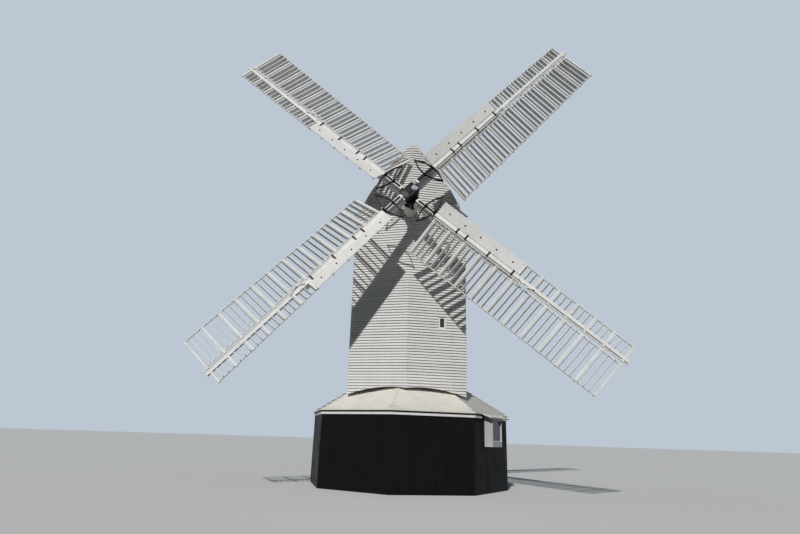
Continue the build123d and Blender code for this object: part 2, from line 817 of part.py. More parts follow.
def shutter(radius, start, end):
    """A thin board that stands open, nearly edge on to the wind, turned about its pivot line."""
    half = shutter_width / 2
    board = slat(radius, shutter_thickness, start, end, -half, half)
    run = Vector(0, start - end, depth(radius, end) - depth(radius, start))
    return board.rotate(Axis((radius, -start, depth(radius, start)), run), shutter_tilt)


def shutters():
    """Shutters between uplong and hemlath, and in the outer bays also between whip and leading rail."""
    start = uplong_offset + uplong_width + shutter_clearance
    end = trailing_width - hemlath_width - shutter_clearance
    wide = [shutter(radius, start, end) for radius in shutter_radii(0)]
    inner_end = -leading_width + leading_rail_width + shutter_clearance
    narrow = [shutter(radius, inner_end, -shutter_inner) for radius in shutter_radii(board_bays)]
    return wide + narrow


def spring_reach(across):
    """The outer face of a spring's outer leaf, at a distance across from the whip's middle."""
    rise = spring_rise + spring_leaf
    radius = (spring_half_length ** 2 + rise ** 2) / (2 * rise)
    return spring_radius + rise - radius + (radius ** 2 - across ** 2) ** 0.5


def shutter_rod():
    """The bar that opens a sail's shutters: an arm from the spring, and a lever to each shutter."""
    start = spring_reach(rod_offset - rod_width / 2) + spring_clearance / 2
    stations = [start] + [bar_radius(n) for n in range(1, bay_count)] + [rod_end_radius]
    near, far_side = rod_offset - rod_width / 2, rod_offset + rod_width / 2
    rod = rail(stations, near, far_side, rod_height, rod_height + rod_width)
    arm_low = depth(start, rod_offset) + rod_height
    arm_high = spring_front() + spring_width
    arm = Box(rod_width, rod_width, arm_high - arm_low, align=(Align.MIN, Align.CENTER, Align.MIN))
    rod += Pos(start, -rod_offset, arm_low) * arm
    for radius in shutter_radii(0):
        lever_end = uplong_offset + uplong_width
        rod += slat(radius, lever_thickness, rod_offset, lever_end, rod_height, rod_height + rod_width)
    return rod


def spring_front():
    """The height at which a spring is seated, just in front of the whip."""
    inner_radius = spring_radius - spring_rise - spring_leaf
    return whip_size(inner_radius, whip_heel_front, whip_tip_front) + spring_clearance


def spring():
    """A full elliptic spring across the whip: two bowed leaves that meet at their ends."""
    def bow(half_length, rise):
        upper = ThreePointArc((0, -half_length), (rise, 0), (0, half_length))
        lower = ThreePointArc((0, half_length), (-rise, 0), (0, -half_length))
        return make_face([upper, lower])
    leaves = bow(spring_half_length, spring_rise + spring_leaf) - bow(
        spring_half_length - 2 * spring_leaf, spring_rise)
    return Pos(spring_radius, 0, spring_front()) * extrude(leaves, amount=spring_width)


def stock_line(radius, side):
    """The height of a stock's front face, which follows the leaning backs of its whips."""
    lean = side * whip_plane_offset / whip_radius
    return -whip_size(radius, whip_heel_back, whip_tip_back) - radius * lean - stock_seat


def stock(side):
    """One tapered timber through the poll end, which carries a pair of whips."""
    hub, end = poll_half_length, stock_half_length
    hub_front, end_front = stock_line(hub, side), stock_line(end, side)
    profile = [(-end, end_front), (-hub, hub_front), (hub, hub_front), (end, end_front),
               (end, end_front - stock_end_depth), (hub, hub_front - stock_hub_depth),
               (-hub, hub_front - stock_hub_depth), (-end, end_front - stock_end_depth)]
    half_hub, half_end = stock_hub_width / 2, stock_end_width / 2
    plan = [(-end, -half_end), (-hub, -half_hub), (hub, -half_hub), (end, -half_end),
            (end, half_end), (hub, half_hub), (-hub, half_hub), (-end, half_end)]
    across = extrude(Plane.XZ * polygon(profile), amount=stock_hub_width, both=True)
    return across & prism(plan, -far / 10, far / 10)


def pair_place(side):
    """The place of a pair of sails and their stock, without the lean of the whips."""
    turn = sail_turn if side > 0 else sail_turn + 90
    return shaft_place() * Rot(0, 0, turn) * Pos(0, 0, side * whip_plane_offset)


def poll_depths():
    """The front and the back of the poll end, along the shaft from the hub."""
    front = whip_plane_offset + stock_line(poll_half_length, 1) + poll_wall
    back = -whip_plane_offset + stock_line(poll_half_length, -1) - stock_hub_depth - poll_wall
    return front, back


def socket_width():
    """The inside width of a socket: the stock and a wedge on each side."""
    return stock_hub_width + 2 * wedge_thickness


def poll_end():
    """The cast iron box on the shaft's nose, with two sockets that cross one behind the other."""
    outer = socket_width() + 2 * poll_wall
    front, back = poll_depths()
    middle = (whip_plane_offset + stock_line(poll_half_length, 1) - stock_hub_depth
              - whip_plane_offset + stock_line(poll_half_length, -1)) / 2
    arm = Box(2 * poll_half_length, outer, front - middle, align=(Align.CENTER, Align.CENTER, Align.MAX))
    rear_arm = Box(2 * poll_half_length, outer, middle - back, align=(Align.CENTER, Align.CENTER, Align.MAX))
    place = shaft_place()
    casting = place * Rot(0, 0, sail_turn) * Pos(0, 0, front) * fillet(arm.edges().filter_by(Axis.Z), poll_wall)
    casting += place * Rot(0, 0, sail_turn + 90) * Pos(0, 0, middle) * fillet(
        rear_arm.edges().filter_by(Axis.Z), poll_wall)
    flange = Cylinder(poll_flange_radius, poll_flange_thickness, align=(Align.CENTER, Align.CENTER, Align.MIN))
    casting += place * Pos(0, 0, back) * flange
    nose = Cylinder(socket_width() / 3, poll_wall / 2, align=(Align.CENTER, Align.CENTER, Align.MIN))
    casting += place * Pos(0, 0, front) * nose
    for side in (1, -1):
        hub_front = stock_line(poll_half_length, side)
        socket = Box(4 * poll_half_length, socket_width(), stock_hub_depth,
                     align=(Align.CENTER, Align.CENTER, Align.MAX))
        casting -= pair_place(side) * Pos(0, 0, hub_front) * socket
    save("poll_end", casting)


def wedges():
    """Long wedges driven in at both sides of each stock, standing proud of the poll end."""
    start = -poll_half_length - wedge_overrun
    end = poll_half_length + wedge_overrun
    solids = []
    for side in (1, -1):
        middle = stock_line(poll_half_length, side) - stock_hub_depth / 2
        slope = (stock_hub_width - stock_end_width) / 2 / (stock_half_length - poll_half_length)
        inner = stock_hub_width / 2 + corner_joint
        outer = inner + wedge_thickness - 2 * corner_joint
        outline = [(start, inner), (end, inner), (end, outer - wedge_taper * slope), (end, outer), (start, outer)]
        wedge = Pos(0, 0, middle) * prism(outline, -wedge_width / 2, wedge_width / 2)
        for turn in (0, 180):
            solids.append(pair_place(side) * Rot(0, 0, turn) * wedge)
    save("wedges", *solids)


def sails():
    """Four like sails, with their backbone timbers on two stocks."""
    one_whip, one_lattice, one_board = whip(), lattice(), leading_board()
    one_rod, one_spring, blades = shutter_rod(), spring(), shutters()
    places = [sail_place(n) for n in range(4)]
    save("whips", *[place * one_whip for place in places])
    save("leading_boards", *[place * one_board for place in places])
    save("shutter_rods", *[place * one_rod for place in places])
    save("springs", *[place * one_spring for place in places])
    for number, place in enumerate(places, start=1):
        save(f"sail_lattice_{number}", place * one_lattice)
        save(f"sail_shutters_{number}", *[place * blade for blade in blades])
    save("front_stock", pair_place(1) * stock(1))
    save("rear_stock", pair_place(-1) * stock(-1))


os.makedirs("parts", exist_ok=True)
roundhouse_walls()
roundhouse_floor()
roundhouse_roof()
eaves_fascia()
window_boxes()
window_canopies()
roundhouse_door()
trestle()
main_post()
breast_walls()
breast_window()
side_and_tail_walls()
buck_roof()
floor_and_sheers()
crown_tree_and_girts()
tail_entrance()
ladder()
handrails()
save("tail_pole", pole(pole_width))
windshaft()
shaft_beams()
poll_end()
wedges()
sails()
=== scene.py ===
import math
import bpy
import numpy as np
from mathutils import Matrix, Vector


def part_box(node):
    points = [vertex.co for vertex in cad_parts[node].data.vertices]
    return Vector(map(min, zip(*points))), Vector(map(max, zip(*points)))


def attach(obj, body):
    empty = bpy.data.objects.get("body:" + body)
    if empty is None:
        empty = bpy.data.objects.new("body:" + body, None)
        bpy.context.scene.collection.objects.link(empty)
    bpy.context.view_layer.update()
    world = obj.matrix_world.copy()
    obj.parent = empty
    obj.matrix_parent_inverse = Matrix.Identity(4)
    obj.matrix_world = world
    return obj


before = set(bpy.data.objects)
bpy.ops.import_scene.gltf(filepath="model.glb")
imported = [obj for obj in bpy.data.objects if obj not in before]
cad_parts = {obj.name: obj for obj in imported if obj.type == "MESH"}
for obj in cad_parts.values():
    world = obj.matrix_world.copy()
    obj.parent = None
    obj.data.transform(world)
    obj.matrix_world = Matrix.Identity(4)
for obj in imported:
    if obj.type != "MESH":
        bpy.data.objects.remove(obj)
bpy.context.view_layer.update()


# The view: the mill is seen from low down in front of it, so the camera looks up by about a fifth of
# a right angle and is tilted a little, as a hand-held one is. The lens is a wide one.
eye = Vector((0.822, -21.557, 1.65))
yaw = math.radians(-3.467)
pitch = math.radians(17.586)
roll = math.radians(1.820)
forward = Vector((math.sin(yaw) * math.cos(pitch), math.cos(yaw) * math.cos(pitch), math.sin(pitch)))
level_right = Vector((math.cos(yaw), -math.sin(yaw), 0))
level_up = level_right.cross(forward)
right = level_right * math.cos(roll) + level_up * math.sin(roll)
up = right.cross(forward)
camera = bpy.data.objects.new("camera", bpy.data.cameras.new("camera"))
camera.data.sensor_width = 36
camera.data.lens = 24.38
camera.data.clip_end = 2000
camera.matrix_world = Matrix((right, up, -forward)).transposed().to_4x4()
camera.location = eye
bpy.context.scene.collection.objects.link(camera)
bpy.context.scene.camera = camera
bpy.context.scene.view_settings.view_transform = "Standard"


# The studio: a pale floor that runs to the horizon, an even sky all round, and one lamp in front, a
# little to the left and about 35 degrees up. The floor throws little light up, as grass would, but is
# shown pale.
def node(tree, kind, sockets=(), **settings):
    """Adds one shader node. A socket's value is another node's output, which is linked, or a constant."""
    made = tree.nodes.new("ShaderNode" + kind)
    for name, value in settings.items():
        setattr(made, name, value)
    for name, value in dict(sockets).items():
        if isinstance(value, bpy.types.NodeSocket):
            tree.links.new(value, made.inputs[name])
        else:
            made.inputs[name].default_value = value
    return made


def maths(tree, operation, *values):
    """The output of one Math node over up to three values."""
    return node(tree, "Math", dict(enumerate(values)), operation=operation).outputs[0]


def blend(tree, share, first, second, **settings):
    """A colour that goes from the first to the second as the share goes from 0 to 1."""
    return node(tree, "Mix", {0: share, 6: first, 7: second}, data_type="RGBA", **settings).outputs[2]


def new_material(name):
    """A material with an empty node tree."""
    material = bpy.data.materials.new(name)
    material.use_nodes = True
    material.node_tree.nodes.clear()
    return material


def surface(material, colour, roughness, normal=None, specular=0.5, **sockets):
    """Finishes a material with one Principled BSDF that has these values and links."""
    sockets = {"Base Color": colour, "Roughness": roughness, "Specular IOR Level": specular, **sockets}
    if normal is not None:
        sockets["Normal"] = normal
    shader = node(material.node_tree, "BsdfPrincipled", sockets)
    node(material.node_tree, "OutputMaterial", {"Surface": shader.outputs["BSDF"]})
    return material


def new_mesh(name, points, faces, material, body=None):
    """A mesh object at the origin, from an array of points and lists or arrays of faces.

    A body's name makes it ride on that body, and the material goes in its one material slot.
    """
    mesh = bpy.data.meshes.new(name)
    mesh.from_pydata(np.asarray(points, float).reshape(-1, 3).tolist(), [],
                     [face for group in faces for face in np.asarray(group).tolist()])
    mesh.materials.append(material)
    mesh.update()
    piece = bpy.data.objects.new(name, mesh)
    bpy.context.scene.collection.objects.link(piece)
    if body:
        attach(piece, body)
    return piece


def looked_at(tree):
    """A mask that is 1 where the camera, a reflection or a pane of glass looks, and 0 for other light."""
    path = node(tree, "LightPath").outputs
    seen = maths(tree, "MAXIMUM", path["Is Camera Ray"], path["Is Glossy Ray"])
    return maths(tree, "MAXIMUM", seen, path["Is Transmission Ray"])


floor_material = new_material("pale_floor")
tree = floor_material.node_tree
shown = blend(tree, looked_at(tree), (0.13, 0.14, 0.12, 1), (0.80, 0.80, 0.79, 1))
surface(floor_material, shown, 0.95, specular=0.1)
floor_reach = 600
floor_drop = 0.004
spokes = np.linspace(0, 2 * np.pi, 97)[:-1]
disc = np.stack([floor_reach * np.cos(spokes), floor_reach * np.sin(spokes), np.full(96, -floor_drop)], 1)
new_mesh("floor", disc, [[range(96)]], floor_material)

world = bpy.data.worlds.new("sky")
bpy.context.scene.world = world
world.use_nodes = True
tree = world.node_tree
tree.nodes.clear()
light = node(tree, "Background", {"Color": (0.58, 0.80, 1.0, 1), "Strength": 0.10})
backdrop = node(tree, "Background", {"Color": (0.50, 0.57, 0.65, 1), "Strength": 1.0})
mixed = node(tree, "MixShader", {0: looked_at(tree), 1: light.outputs[0], 2: backdrop.outputs[0]})
node(tree, "OutputWorld", {"Surface": mixed.outputs[0]})

lamp_direction = Vector((0.164, 0.803, -0.573))
lamp = bpy.data.objects.new("soft_lamp", bpy.data.lights.new("soft_lamp", "SUN"))
lamp.data.energy = 2.60
lamp.data.angle = math.radians(1.2)
lamp.data.color = (1.0, 0.98, 0.95)
lamp.rotation_euler = lamp_direction.to_track_quat("-Z", "Y").to_euler()
bpy.context.scene.collection.objects.link(lamp)


# The roundhouse walls are brick in courses, coated with tar that has run into the joints, so the
# courses only just show. The door side and the window sides are the same work.
wall_radius = 3.35


def position(tree):
    """The place of a point in the part's own frame."""
    return node(tree, "TexCoord").outputs["Object"]


def noise(tree, place, scale, detail, **sockets):
    """The value of a noise texture at a place."""
    sockets = {"Vector": place, "Scale": scale, "Detail": detail, **sockets}
    return node(tree, "TexNoise", sockets).outputs["Fac"]


def smooth(tree, value, low, high, top=1.0):
    """A smoothstep that goes from 0 at the low value to the top at the high one."""
    sockets = {0: value, 1: low, 2: high, 4: top}
    return node(tree, "MapRange", sockets, interpolation_type="SMOOTHSTEP").outputs[0]


def bumped(tree, height, strength, distance, **settings):
    """The normal of a surface that is raised by a height."""
    sockets = {"Height": height, "Strength": strength, "Distance": distance}
    return node(tree, "Bump", sockets, **settings).outputs[0]


def group_tree(name, inputs, outputs):
    """A shader node group: its tree, its given values and its output node. Four numbers are a colour."""
    group = bpy.data.node_groups.new(name, "ShaderNodeTree")
    for label, value in inputs.items():
        kind = "NodeSocketColor" if np.ndim(value) else "NodeSocketFloat"
        group.interface.new_socket(label, in_out="INPUT", socket_type=kind).default_value = value
    for label, kind in outputs.items():
        group.interface.new_socket(label, in_out="OUTPUT", socket_type="NodeSocket" + kind)
    return group, group.nodes.new("NodeGroupInput").outputs, group.nodes.new("NodeGroupOutput")


def put_out(group, out, **values):
    """Links a group's outputs, and gives back the group."""
    for label, value in values.items():
        group.links.new(value, out.inputs[label])
    return group


def weathering():
    """Rain and dirt: Color goes from Paint to Grime where slow blotches and long upright streaks add up.

    mask = Amount x smoothstep(0.55 x blotch + 0.45 x streak). Roughness follows the mask, and Height is
    a fine unevenness of the surface.
    """
    group, given, out = group_tree(
        "weathering",
        {"Paint": (0.8, 0.8, 0.8, 1), "Grime": (0.4, 0.4, 0.35, 1), "Amount": 0.5, "Size": 1.0},
        {"Color": "Color", "Roughness": "Float", "Height": "Float"})
    sized = node(group, "VectorMath", {0: position(group), "Scale": given["Size"]},
                 operation="SCALE").outputs[0]
    drawn = node(group, "Mapping", {"Vector": sized, "Scale": (7.0, 7.0, 0.55)}).outputs[0]
    blotch = noise(group, sized, 1.3, 6.0, Roughness=0.62)
    streak = noise(group, drawn, 1.0, 4.0)
    both = maths(group, "MULTIPLY_ADD", streak, 0.45, maths(group, "MULTIPLY", blotch, 0.55))
    mask = maths(group, "MULTIPLY", smooth(group, both, 0.42, 0.72), given["Amount"])
    rough = node(group, "MapRange", {0: mask, 3: 0.45, 4: 0.85}).outputs[0]
    return put_out(group, out, Color=blend(group, mask, given["Paint"], given["Grime"]), Roughness=rough,
                   Height=noise(group, sized, 55.0, 3.0))


weathering_group = weathering()


def weathered(tree, paint, grime, amount, size=1.0):
    """The outputs of the weathering group. Paint is a colour, or the output of a pattern."""
    return node(tree, "Group", {"Paint": paint, "Grime": grime, "Amount": amount, "Size": size},
                node_tree=weathering_group).outputs


def courses(tree, run, height, light, dark, joint, joint_size):
    """Bricks of 225 x 75 mm in a bond, laid over a run along the wall and a height."""
    wall = node(tree, "CombineXYZ", {"X": run, "Y": height})
    return node(tree, "TexBrick", {
        "Vector": wall.outputs[0], "Color1": light, "Color2": dark, "Mortar": joint, "Scale": 1.0,
        "Mortar Size": joint_size, "Mortar Smooth": 0.5, "Brick Width": 0.225, "Row Height": 0.075}).outputs


def tarred_brickwork():
    """Black tar over brick: the run is the angle round the post x 3.35 m, and the joints are sunk."""
    material = new_material("tarred_brick")
    tree = material.node_tree
    parts = node(tree, "SeparateXYZ", {0: position(tree)}).outputs
    run = maths(tree, "MULTIPLY", maths(tree, "ARCTAN2", parts["X"], parts["Y"]), wall_radius)
    bricks = courses(tree, run, parts["Z"], (0.0085, 0.0085, 0.0095, 1), (0.0070, 0.0070, 0.0080, 1),
                     (0.0045, 0.0045, 0.0050, 1), 0.006)
    worn = weathered(tree, bricks["Color"], (0.0130, 0.0124, 0.0119, 1), 0.7, 0.8)
    sunk = maths(tree, "MULTIPLY_ADD", bricks["Fac"], -0.6, worn["Height"])
    return surface(material, worn["Color"], worn["Roughness"], bumped(tree, sunk, 0.4, 0.006), 0.06)


def finish(material, *names):
    """Gives CAD nodes their material."""
    for name in names:
        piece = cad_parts[name]
        piece.data.materials.clear()
        piece.data.materials.append(material)


finish(tarred_brickwork(), "roundhouse_walls", "roundhouse_window_walls", "roundhouse_door_wall")


# The floor is stone paving, laid in rows with sanded joints. It fills the roundhouse and runs out
# through the doorway as a step.
def paving():
    """Grey stones of 450 x 300 mm, each with its own tone, and dirty joints between them."""
    material = new_material("paving")
    tree = material.node_tree
    slabs = node(tree, "TexBrick", {
        "Vector": position(tree), "Color1": (0.30, 0.28, 0.25, 1), "Color2": (0.21, 0.20, 0.19, 1),
        "Mortar": (0.12, 0.11, 0.10, 1), "Scale": 1.0, "Mortar Size": 0.008, "Brick Width": 0.45,
        "Row Height": 0.30}).outputs
    worn = weathered(tree, slabs["Color"], (0.10, 0.095, 0.09, 1), 0.6, 2.0)
    return surface(material, worn["Color"], 0.85, bumped(tree, slabs["Fac"], 0.5, 0.01, invert=True))


finish(paving(), "roundhouse_floor")


# The roundhouse roof is boarded and covered with painted sheet in wide courses, cream, and greyer where
# lichen has taken hold near the eaves. The slopes away from the lamp are painted grey and spotted, as
# painted shade.
sheet_course = 0.52


def painted(name, paint, grime, amount, size=1.0, unevenness=0.002, gloss=0.4):
    """Paint on a surface without boards of its own, with rain streaks and a fine unevenness."""
    material = new_material(name)
    worn = weathered(material.node_tree, paint, grime, amount, size)
    normal = bumped(material.node_tree, worn["Height"], 0.4, unevenness)
    return surface(material, worn["Color"], worn["Roughness"], normal, gloss)


def height_in(tree):
    """The height of a point above the ground."""
    return node(tree, "SeparateXYZ", {0: position(tree)}).outputs["Z"]


def dot(tree, vector, axis):
    """The length of a vector along an axis."""
    return node(tree, "VectorMath", {0: vector, 1: axis}, operation="DOT_PRODUCT").outputs["Value"]


def roof_sheet():
    """Cream paint on lapped sheet: a lap every 0.52 m of height, and lichen below a wavy height of 3 m.

    The sheet steps up over the first 4 percent of the fraction of height / 0.52, and lichen =
    smoothstep(2.55 - height + 0.9 x noise). The slopes that face right or back are painted grey and spotted
    as painted shade: shade = smoothstep(normal x 0.95 + normal y 0.3).
    """
    material = new_material("cream_roof_paint")
    tree = material.node_tree
    height = height_in(tree)
    worn = weathered(tree, (0.88, 0.83, 0.77, 1), (0.62, 0.59, 0.53, 1), 0.5, 0.7)
    wavy = maths(tree, "MULTIPLY_ADD", noise(tree, position(tree), 2.2, 7.0), 0.9, 2.55)
    lichen = smooth(tree, maths(tree, "SUBTRACT", wavy, height), 0.0, 0.6, 0.35)
    sunny = blend(tree, lichen, worn["Color"], (0.50, 0.51, 0.42, 1))
    # Painted shade: the slopes that face away from the lamp are blended to a spotted grey.
    spots = noise(tree, position(tree), 9.0, 6.0)
    painted_shade_grey = blend(tree, spots, (0.28, 0.28, 0.24, 1), (0.66, 0.64, 0.57, 1))
    away = dot(tree, node(tree, "TexCoord").outputs["Normal"], (0.95, 0.30, 0.0))
    colour = blend(tree, smooth(tree, away, 0.22, 0.34, 0.75), sunny, painted_shade_grey)
    share = maths(tree, "FRACT", maths(tree, "DIVIDE", height, sheet_course))
    raised = maths(tree, "MULTIPLY_ADD", smooth(tree, share, 0.0, 0.04), 0.7, worn["Height"])
    return surface(material, colour, worn["Roughness"], bumped(tree, raised, 0.35, 0.004), 0.25)


cream_paint = roof_sheet()
finish(cream_paint, "roundhouse_roof", "window_canopies")


# The hips are weathered with short saddles of the same sheet, each one folded over the hip and
# lapped over the one below it, so that the hip has a stepped edge.
house_turn = -6.2
hip_turn = math.radians(-90 + house_turn)
half_facet = math.pi / 8
roof_rise = 2.210
roof_reach = 3.760
roof_top = 4.760
hip_slope = roof_rise / roof_reach
roof_slope = hip_slope / math.cos(half_facet)
saddle_length = 0.20
saddle_lap = 0.03
saddle_half = 0.075
saddle_start = 1.0
saddle_end = 3.74
saddle_radii = np.arange(saddle_start, saddle_end - saddle_length, saddle_length)
head_lift = 0.006
sunny_lift = 0.010
shady_lift = 0.042
sunny_hips = np.isin(np.arange(8), [0, 1, 7])
sheet_thickness = 0.005
upright = np.array([0.0, 0.0, 1.0])


def hip_axes(hip):
    """The level directions out from the post and round it, for hips that are counted from the front."""
    angle = hip_turn + hip * np.pi / 4
    return (np.concatenate([np.cos(angle), np.sin(angle), 0 * angle], -1),
            np.concatenate([-np.sin(angle), np.cos(angle), 0 * angle], -1))


def on_hip(radius, outward):
    """The point of a hip at a level distance from the post."""
    return radius * outward + (roof_top - hip_slope * radius) * upright


def hip_saddles():
    """Saddles down the eight hips, as arrays of (hip, saddle, end, layer, corner).

    A corner is hip(radius) + wing x width + normal x lift. Wings lie in the roof slope on each side,
    square to the hip, and the lower end of each saddle is wider and stands higher than its upper end,
    most of all on the five hips away from the sun.
    """
    outward, around = hip_axes(np.arange(8)[:, None, None, None, None])
    ends = np.stack([saddle_radii, saddle_radii + saddle_length + saddle_lap], 1)[None, :, :, None, None]
    side = np.array([-1.0, 0.0, 1.0])[None, None, None, :, None]
    width = np.array([0.80, 1.0])[None, None, :, None, None] * saddle_half
    lift = np.stack([np.full(8, head_lift), np.where(sunny_hips, sunny_lift, shady_lift)], 1)
    down_hip = (outward - hip_slope * upright) / math.hypot(1, hip_slope)
    facet_out = outward * math.cos(half_facet) + side * around * math.sin(half_facet)
    normal = (roof_slope * facet_out + upright) / math.hypot(1, roof_slope)
    wing = np.cross(down_hip + 0 * normal, normal)
    wing *= np.sign((wing * around).sum(-1, keepdims=True)) * side
    top = on_hip(ends, outward) + wing * width + normal * lift[:, None, :, None, None]
    under = top - normal * sheet_thickness
    return np.stack(np.broadcast_arrays(top, under), 3)


def strip(first, second):
    """The faces between two rows of points, numbered along their last axis."""
    return np.stack([first[..., :-1], second[..., :-1], second[..., 1:], first[..., 1:]], -1).reshape(-1, 4)


saddles = hip_saddles()
grid = np.arange(saddles[..., 0].size).reshape(saddles.shape[:-1])
new_mesh("hip_saddles", saddles, [strip(grid[:, :, 0, 0], grid[:, :, 1, 0]),
                                  strip(grid[:, :, 1, 0], grid[:, :, 1, 1]),
                                  strip(grid[..., 0, 0], grid[..., 1, 0]),
                                  strip(grid[..., 1, 2], grid[..., 0, 2])],
         cream_paint, "roundhouse")


# White boards are nailed under the eaves, a little below the roof's edge. A near black band of painted
# shadow from the eaves runs along their upper edge.
def fascia_paint(top):
    """White paint, with painted eaves shadow = smoothstep of the height from 46 mm to 38 mm below the top.
    """
    material = new_material("fascia_paint")
    tree = material.node_tree
    worn = weathered(tree, (0.88, 0.88, 0.88, 1), (0.62, 0.61, 0.57, 1), 0.4)
    # Painted shadow of the eaves: the top of the boards is blended to near black.
    eaves_shadow = smooth(tree, height_in(tree), top - 0.046, top - 0.038)
    colour = blend(tree, eaves_shadow, worn["Color"], (0.012, 0.012, 0.013, 1))
    return surface(material, colour, worn["Roughness"], specular=0.2)


finish(fascia_paint(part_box("eaves_fascia")[1].z), "eaves_fascia")


# Each box window of the roundhouse is a painted timber box with a sloping sill and one dusty pane in
# its front. The small window of the breast has a pane of the same glass in a white frame.
grey_paint = painted("grey_white_paint", (0.58, 0.60, 0.60, 1), (0.32, 0.33, 0.31, 1), 0.5)
finish(grey_paint, "roundhouse_window_boxes")
finish(painted("frame_paint", (0.88, 0.87, 0.86, 1), (0.60, 0.58, 0.55, 1), 0.3), "breast_window_frame")


def window_glass():
    """Old, dusty glass with a slow wave in it, coloured near black as painted shade for the dim room
    behind.
    """
    material = new_material("window_glass")
    tree = material.node_tree
    wave = noise(tree, position(tree), 4.0, 1.0)
    # The pane's near black colour is painted shade for the dark inside seen through it, varied by dust.
    dust_and_painted_shade = blend(tree, wave, (0.018, 0.026, 0.027, 1), (0.040, 0.050, 0.048, 1))
    return surface(material, dust_and_painted_shade, 0.08, bumped(tree, wave, 0.15, 0.01), IOR=1.5,
                   **{"Transmission Weight": 0.3})


finish(window_glass(), "roundhouse_window_glass", "breast_window_glass")


# The doors are ledged planks on strap hinges, with a ring latch. The roundhouse door and its frame
# are tarred like the wall round them.
plank_width = 0.12
strap = [(-0.33, -0.030), (0.20, -0.014), (0.26, -0.022), (0.29, 0.0), (0.26, 0.022), (0.20, 0.014),
         (-0.33, 0.030)]
leaf_thickness = 0.045
hinge_inset = 0.3
latch_height = 1.0
latch_run = 0.28
ring_radius = 0.045
ring_wire = 0.006


def planks(name, paint, grime, across):
    """Painted upright planks, 120 mm wide over the direction across, with a sunk joint between them.

    The paint is flat = smoothstep(1.5 to 4 percent) of the distance of (position . across) / 0.12 from
    a whole number, and the joint is dark where flat is 0.
    """
    material = new_material(name)
    tree = material.node_tree
    count = maths(tree, "DIVIDE", dot(tree, position(tree), across), plank_width)
    flat = smooth(tree, maths(tree, "PINGPONG", count, 0.5), 0.015, 0.04)
    worn = weathered(tree, paint, grime, 0.6, 1.2)
    colour = blend(tree, flat, tuple(0.3 * c for c in grime[:3]) + (1,), worn["Color"])
    raised = maths(tree, "MULTIPLY_ADD", flat, 2.0, worn["Height"])
    return surface(material, colour, worn["Roughness"], bumped(tree, raised, 0.6, 0.004), 0.3)


def placed(origin, across, outward, height=(0, 0, 1)):
    """Places (4 x 4) with X across, Y up and Z outward, one for each origin."""
    origin = np.asarray(origin, float).reshape(-1, 3)
    places = np.zeros((len(origin), 4, 4))
    places[:, :3, 0], places[:, :3, 1], places[:, :3, 2] = across, height, outward
    places[:, :3, 3] = origin
    places[:, 3, 3] = 1
    return places


def plates(name, outline, places, low, high, material, body):
    """Equal plates: an outline (x, y), taken anticlockwise, from the height low to high at each place.

    A point is place x (x, y, height). The faces are one front, one back and a side for each edge.
    """
    outline = np.asarray(outline, float)
    count = len(outline)
    flat = np.concatenate([np.concatenate([outline, np.full((count, 1), z), np.ones((count, 1))], 1)
                           for z in (low, high)])
    points = np.einsum("pij,nj->pni", places, flat)[..., :3]
    start = np.arange(len(places))[:, None] * 2 * count
    ring = np.arange(count)
    after = np.roll(ring, -1)
    sides = start[..., None] + np.stack([ring, after, after + count, ring + count], 1)
    return new_mesh(name, points, [start + ring[::-1], start + ring + count, sides.reshape(-1, 4)],
                    material, body)


def disc_outline(radius, corners):
    """A regular outline of a few corners, for bolt heads and washers."""
    angle = 2 * np.pi * (np.arange(corners) + 0.5) / corners
    return radius * np.stack([np.cos(angle), np.sin(angle)], 1)


iron = painted("black_iron", (0.007, 0.007, 0.008, 1), (0.036, 0.022, 0.015, 1), 0.3, 4.0, 0.001, 0.10)
door_facet = math.radians(house_turn + 22.5 + 3 * 45)
door_across = (math.cos(door_facet), math.sin(door_facet), 0)
door_outward = (math.sin(door_facet), -math.cos(door_facet), 0)
tar_paint = planks("tarred_planks", (0.014, 0.014, 0.016, 1), (0.05, 0.048, 0.045, 1), door_across)
finish(tar_paint, "roundhouse_door", "roundhouse_door_frame")


def door_ironwork(name, leaf, across, outward, body):
    """Two strap hinges and a ring latch on the outer face of a plank door, placed from its box."""
    low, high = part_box(leaf)
    across, outward = np.array(across), np.array(outward)
    face = (np.array(low) + np.array(high)) / 2 + outward * (leaf_thickness / 2 + 0.001)
    origins = face + np.zeros((2, 1))
    origins[:, 2] = low[2] + hinge_inset, high[2] - hinge_inset
    plates(name + "_hinges", strap, placed(origins, across, outward), 0, 0.008, iron, body)
    latch = face + across * latch_run
    latch[2] = low[2] + latch_height
    plates(name + "_latch", disc_outline(0.035, 12), placed(latch, across, outward), 0, 0.012, iron, body)
    turn = np.linspace(0, 2 * np.pi, 17)[:-1, None, None]
    tube = np.linspace(0, 2 * np.pi, 9)[:-1, None]
    drop = latch + outward * 0.02 - ring_radius * upright
    around = np.cos(turn) * across + np.sin(turn) * upright
    points = drop + around * (ring_radius + ring_wire * np.cos(tube)) + ring_wire * np.sin(tube) * outward
    closed = np.pad(np.arange(16 * 8).reshape(16, 8), (0, 1), mode="wrap")
    new_mesh(name + "_ring", points, [strip(closed[:-1], closed[1:])], iron, body)


door_ironwork("roundhouse_door", "roundhouse_door", door_across, door_outward, "roundhouse")


# A broad nail holds the foot of each saddle on the hips of the roundhouse roof. The nails are iron and
# stand square to the hip.
def hip_nails():
    """The nails' places, on the line hip(radius) and raised square to it with the saddles they hold."""
    hip, radius = np.meshgrid(np.arange(8), saddle_radii + saddle_length, indexing="ij")
    hip, radius = hip.reshape(-1, 1), radius.reshape(-1, 1)
    outward, around = hip_axes(hip)
    normal = (hip_slope * outward + upright) / math.hypot(1, hip_slope)
    lift = np.where(sunny_hips[hip], 0.95 * sunny_lift, 0.88 * shady_lift)
    return placed(on_hip(radius, outward) + lift * normal, around, normal, np.cross(normal, around))


plates("hip_nails", disc_outline(0.017, 6), hip_nails(), -0.002, 0.004, iron, "roundhouse")


